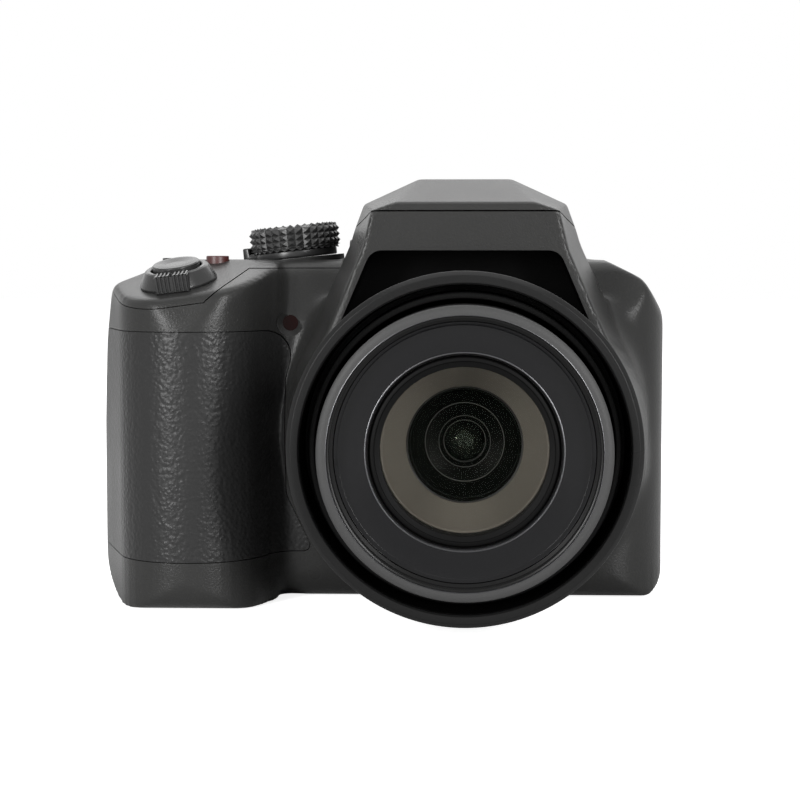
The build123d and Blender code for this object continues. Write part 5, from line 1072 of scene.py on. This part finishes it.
# Mode dial: a moulded drum with three rows of small pyramids round its edge over a plain band.
# It leans a little towards the grip, and twelve plain marks are printed round its top.
DIAL_STUDS = 34
DIAL_ROWS = 3
DIAL_ROW = 1.4
DIAL_LOW = 2.75
DIAL_EDGE = 9.9
STUD_HEIGHT = 0.6
MARKS = 12
dial_profile = [(0.0, 2.05), (9.7, 2.05), (10.0, 2.3), (10.0, DIAL_LOW)]
dial_profile += [(10.15, DIAL_LOW + DIAL_ROW * row) for row in range(DIAL_ROWS + 1)]
dial_profile += [(9.75, 7.05), (9.45, 7.2), (8.9, 7.2), (8.75, 7.05), (0.0, 7.05)]
dial = spun(dial_profile, DIAL_STUDS)
for polygon in dial.data.polygons:
    middle = polygon.center / MM
    in_rows = DIAL_LOW < middle.z < DIAL_LOW + DIAL_ROW * DIAL_ROWS
    polygon.select = in_rows and sqrt(middle.x**2 + middle.y**2) > DIAL_EDGE
select_only(dial)
bpy.ops.object.mode_set(mode="EDIT")
bpy.ops.mesh.select_mode(type="FACE")
bpy.ops.mesh.poke(offset=STUD_HEIGHT * MM)
bpy.ops.object.mode_set(mode="OBJECT")
dial.data.transform(DIAL_SEAT)
dress(dial, "mode_drum", control_black, "mode_dial", "mode_dial", angle=25)
mark_white = finish("mark_white", 0.55, 0.5, grain=0.5, depth=0.002)


def printed(pieces, name, body, slot):
    """Thin printed marks, made one, that ride with the piece they are on."""
    select_only(*pieces)
    bpy.ops.object.join()
    return dress(pieces[0], name, mark_white, body, slot=slot)


marks = []
for step in range(MARKS):
    inner_end = 6.4 if step % 3 == 0 else 7.2
    mark = block((inner_end, -0.22, 7.0), (8.3, 0.22, 7.09))
    mark.data.transform(DIAL_SEAT @ Matrix.Rotation(2 * pi * step / MARKS, 4, "Z"))
    marks.append(mark)
printed(marks, "dial_marks", "mode_dial", "deck_plastic")

# Small top controls: the power lever under the dial, the function and flash buttons and the red one.
# Each is a moulding with softly rounded edges, made from the CAD piece.
def softened(node, width, material):
    """A merged copy of a CAD node with its sharp edges rounded, which takes the node's place."""
    source = nodes[node]
    piece = twin_of(source)
    piece.parent = None
    piece.matrix_world = source.matrix_world.copy()
    edited(piece, lambda: bpy.ops.mesh.remove_doubles(threshold=1e-6),
           lambda: bpy.ops.mesh.dissolve_limited(angle_limit=radians(1)))
    applied(piece, "BEVEL", width=width * MM, segments=3, limit_method="ANGLE", angle_limit=radians(35))
    return dress(piece, f"{node}_soft", material, source.parent.name[5:], node)


softened("power_lever", 0.35, control_black)
softened("function_button", 0.25, control_black)
softened("flash_release_button", 0.3, control_black)
red_plastic = finish("record_red", (0.045, 0.008, 0.007), 0.4, grain=0.3, depth=0.008)
softened("record_button", 0.25, red_plastic)

# Back keys: seven round ones and four direction keys, moulded in black plastic with a small radius.
# Generic signs are printed on them in white, drawn here about the middle of each key.
KEY_FACE = 26.8
SIGN_RISE = 0.04


def bar(low, high):
    """The outline of an upright or level bar between two corners."""
    (a, b), (c, d) = low, high
    return (a, b), (c, b), (c, d), (a, d)


def sign(points, centre):
    """A thin flat stroke on a key, its outline drawn as it is seen from behind."""
    x, z = centre
    return prism([(x - a, z + b) for a, b in points], "y", KEY_FACE - SIGN_RISE, KEY_FACE + SIGN_RISE)


SIGNS = {
    "menu_button": [bar((-1.3, b), (1.3, b + 0.3)) for b in (-1.0, -0.15, 0.7)],
    "view_button": [rounded(((-1.5, 0), (0, -1.1), (1.5, 0), (0, 1.1)), (0, 0.9, 0, 0.9), 4)],
    "lock_button": [bar((-0.9, -1.1), (0.9, 0.3)), bar((-0.65, 0.3), (-0.4, 1.1)),
                    bar((0.4, 0.3), (0.65, 1.1)), bar((-0.65, 0.9), (0.65, 1.15))],
    "play_button": [((-0.9, -1.2), (1.3, 0), (-0.9, 1.2))],
    "quick_menu_button": [bar((-1.2, b), (1.2, b + 0.28)) for b in (-0.9, -0.1, 0.7)],
    "display_button": [bar((-1.3, -0.9), (1.3, -0.65)), bar((-1.3, 0.65), (1.3, 0.9)),
                       bar((-1.3, -0.65), (-1.05, 0.65)), bar((1.05, -0.65), (1.3, 0.65))],
    "delete_button": [bar((-0.8, -1.2), (0.8, 0.6)), bar((-1.1, 0.8), (1.1, 1.05))],
    "left_key": [((0.5, -0.9), (0.5, 0.9), (-0.8, 0))],
    "right_key": [((-0.5, -0.9), (0.8, 0), (-0.5, 0.9))],
    "up_key": [((-0.9, -0.5), (0.9, -0.5), (0, 0.8))],
    "down_key": [((-0.9, 0.5), (0, -0.8), (0.9, 0.5))],
}
for key, strokes in SIGNS.items():
    softened(key, 0.25, control_black)
    printed([sign(stroke, middle_of(key)) for stroke in strokes], f"{key}_sign", key, "button_plastic")

# Doors: the battery door in the base with its sliding latch, and a soft rubber door over the sockets.
# Their edges are rounded a little, so that a fine line shows round them.
softened("battery_latch", 0.2, control_black)
softened("battery_door", 0.25, shell_plastic)
door_rubber = finish("door_rubber", 0.02, 0.6, grain=0.4, depth=0.02)
softened("terminal_door", 0.3, door_rubber)

# All other pieces keep their CAD mesh: barrel, wheels, eyecup, sensor, boards, battery and fittings.
# Each gets the finish of its real material, and the tubes seen in the lens's gap get a near-black, barely
# glossy finish as painted shade.
lamp_red = finish("lamp_red", (0.009, 0.001, 0.0008), 0.15, grain=0.8, depth=0.002, specular=0.1)
# The fixed barrel and the cam tube take the near-black finish as painted shade in the gap.
alone = {"af_lamp_lens": lamp_red, "fixed_barrel": gap_black, "cam_tube": gap_black}
by_slot = {
    "body_plastic": shell_plastic, "deck_plastic": control_black, "button_plastic": control_black,
    "record_plastic": red_plastic, "grip_rubber": rubber_skin, "thumb_rubber": rubber_skin,
    "dark_metal": tube_black, "trim_metal": ring_black, "rim_metal": rim_grey,
    "name_plate": plate_black, "coated_glass": front_glass_finish,
    "eyecup_rubber": finish("cup_rubber", 0.017, 0.62, grain=0.5, depth=0.03),
    "inner_plastic": finish("inner_black", 0.012, 0.5, grain=0.4, depth=0.02),
    "steel": finish("plain_steel", 0.5, 0.32, grain=0.5, depth=0.004, metal=1.0),
    "lug_metal": finish("lug_steel", 0.2, 0.35, grain=0.4, depth=0.006, metal=1.0),
    "brass": finish("plain_brass", (0.6, 0.42, 0.18), 0.3, grain=0.5, depth=0.005, metal=1.0),
    "aluminium": finish("cast_aluminium", (0.6, 0.6, 0.61), 0.45, grain=0.6, depth=0.01, metal=1.0),
    "board": finish("board_green", (0.01, 0.09, 0.035), 0.4, grain=1.2, depth=0.02),
    "battery_case": finish("case_grey", (0.05, 0.05, 0.055), 0.45, grain=0.6, depth=0.01),
    "card_plastic": finish("card_blue", (0.02, 0.035, 0.09), 0.45, grain=0.6, depth=0.01),
    "screen_glass": finish("screen_black", (0.004, 0.004, 0.005), 0.1, grain=1.0, depth=0.0005, coat=0.3),
    "display": finish("panel_black", (0.008, 0.009, 0.011), 0.3, grain=0.5, depth=0.003),
    "clear_glass": glass("clear_window", (0.85, 0.9, 0.9), 1.0, (0.9, 0.95, 1.0)),
    "flash_glass": glass("flash_clear", (0.8, 0.82, 0.85), 1.0, (0.95, 0.95, 1.0), 0.1),
}
for name, node in nodes.items():
    for slot in range(len(node.data.materials)):
        node.data.materials[slot] = alone.get(name, by_slot[slots[name]])
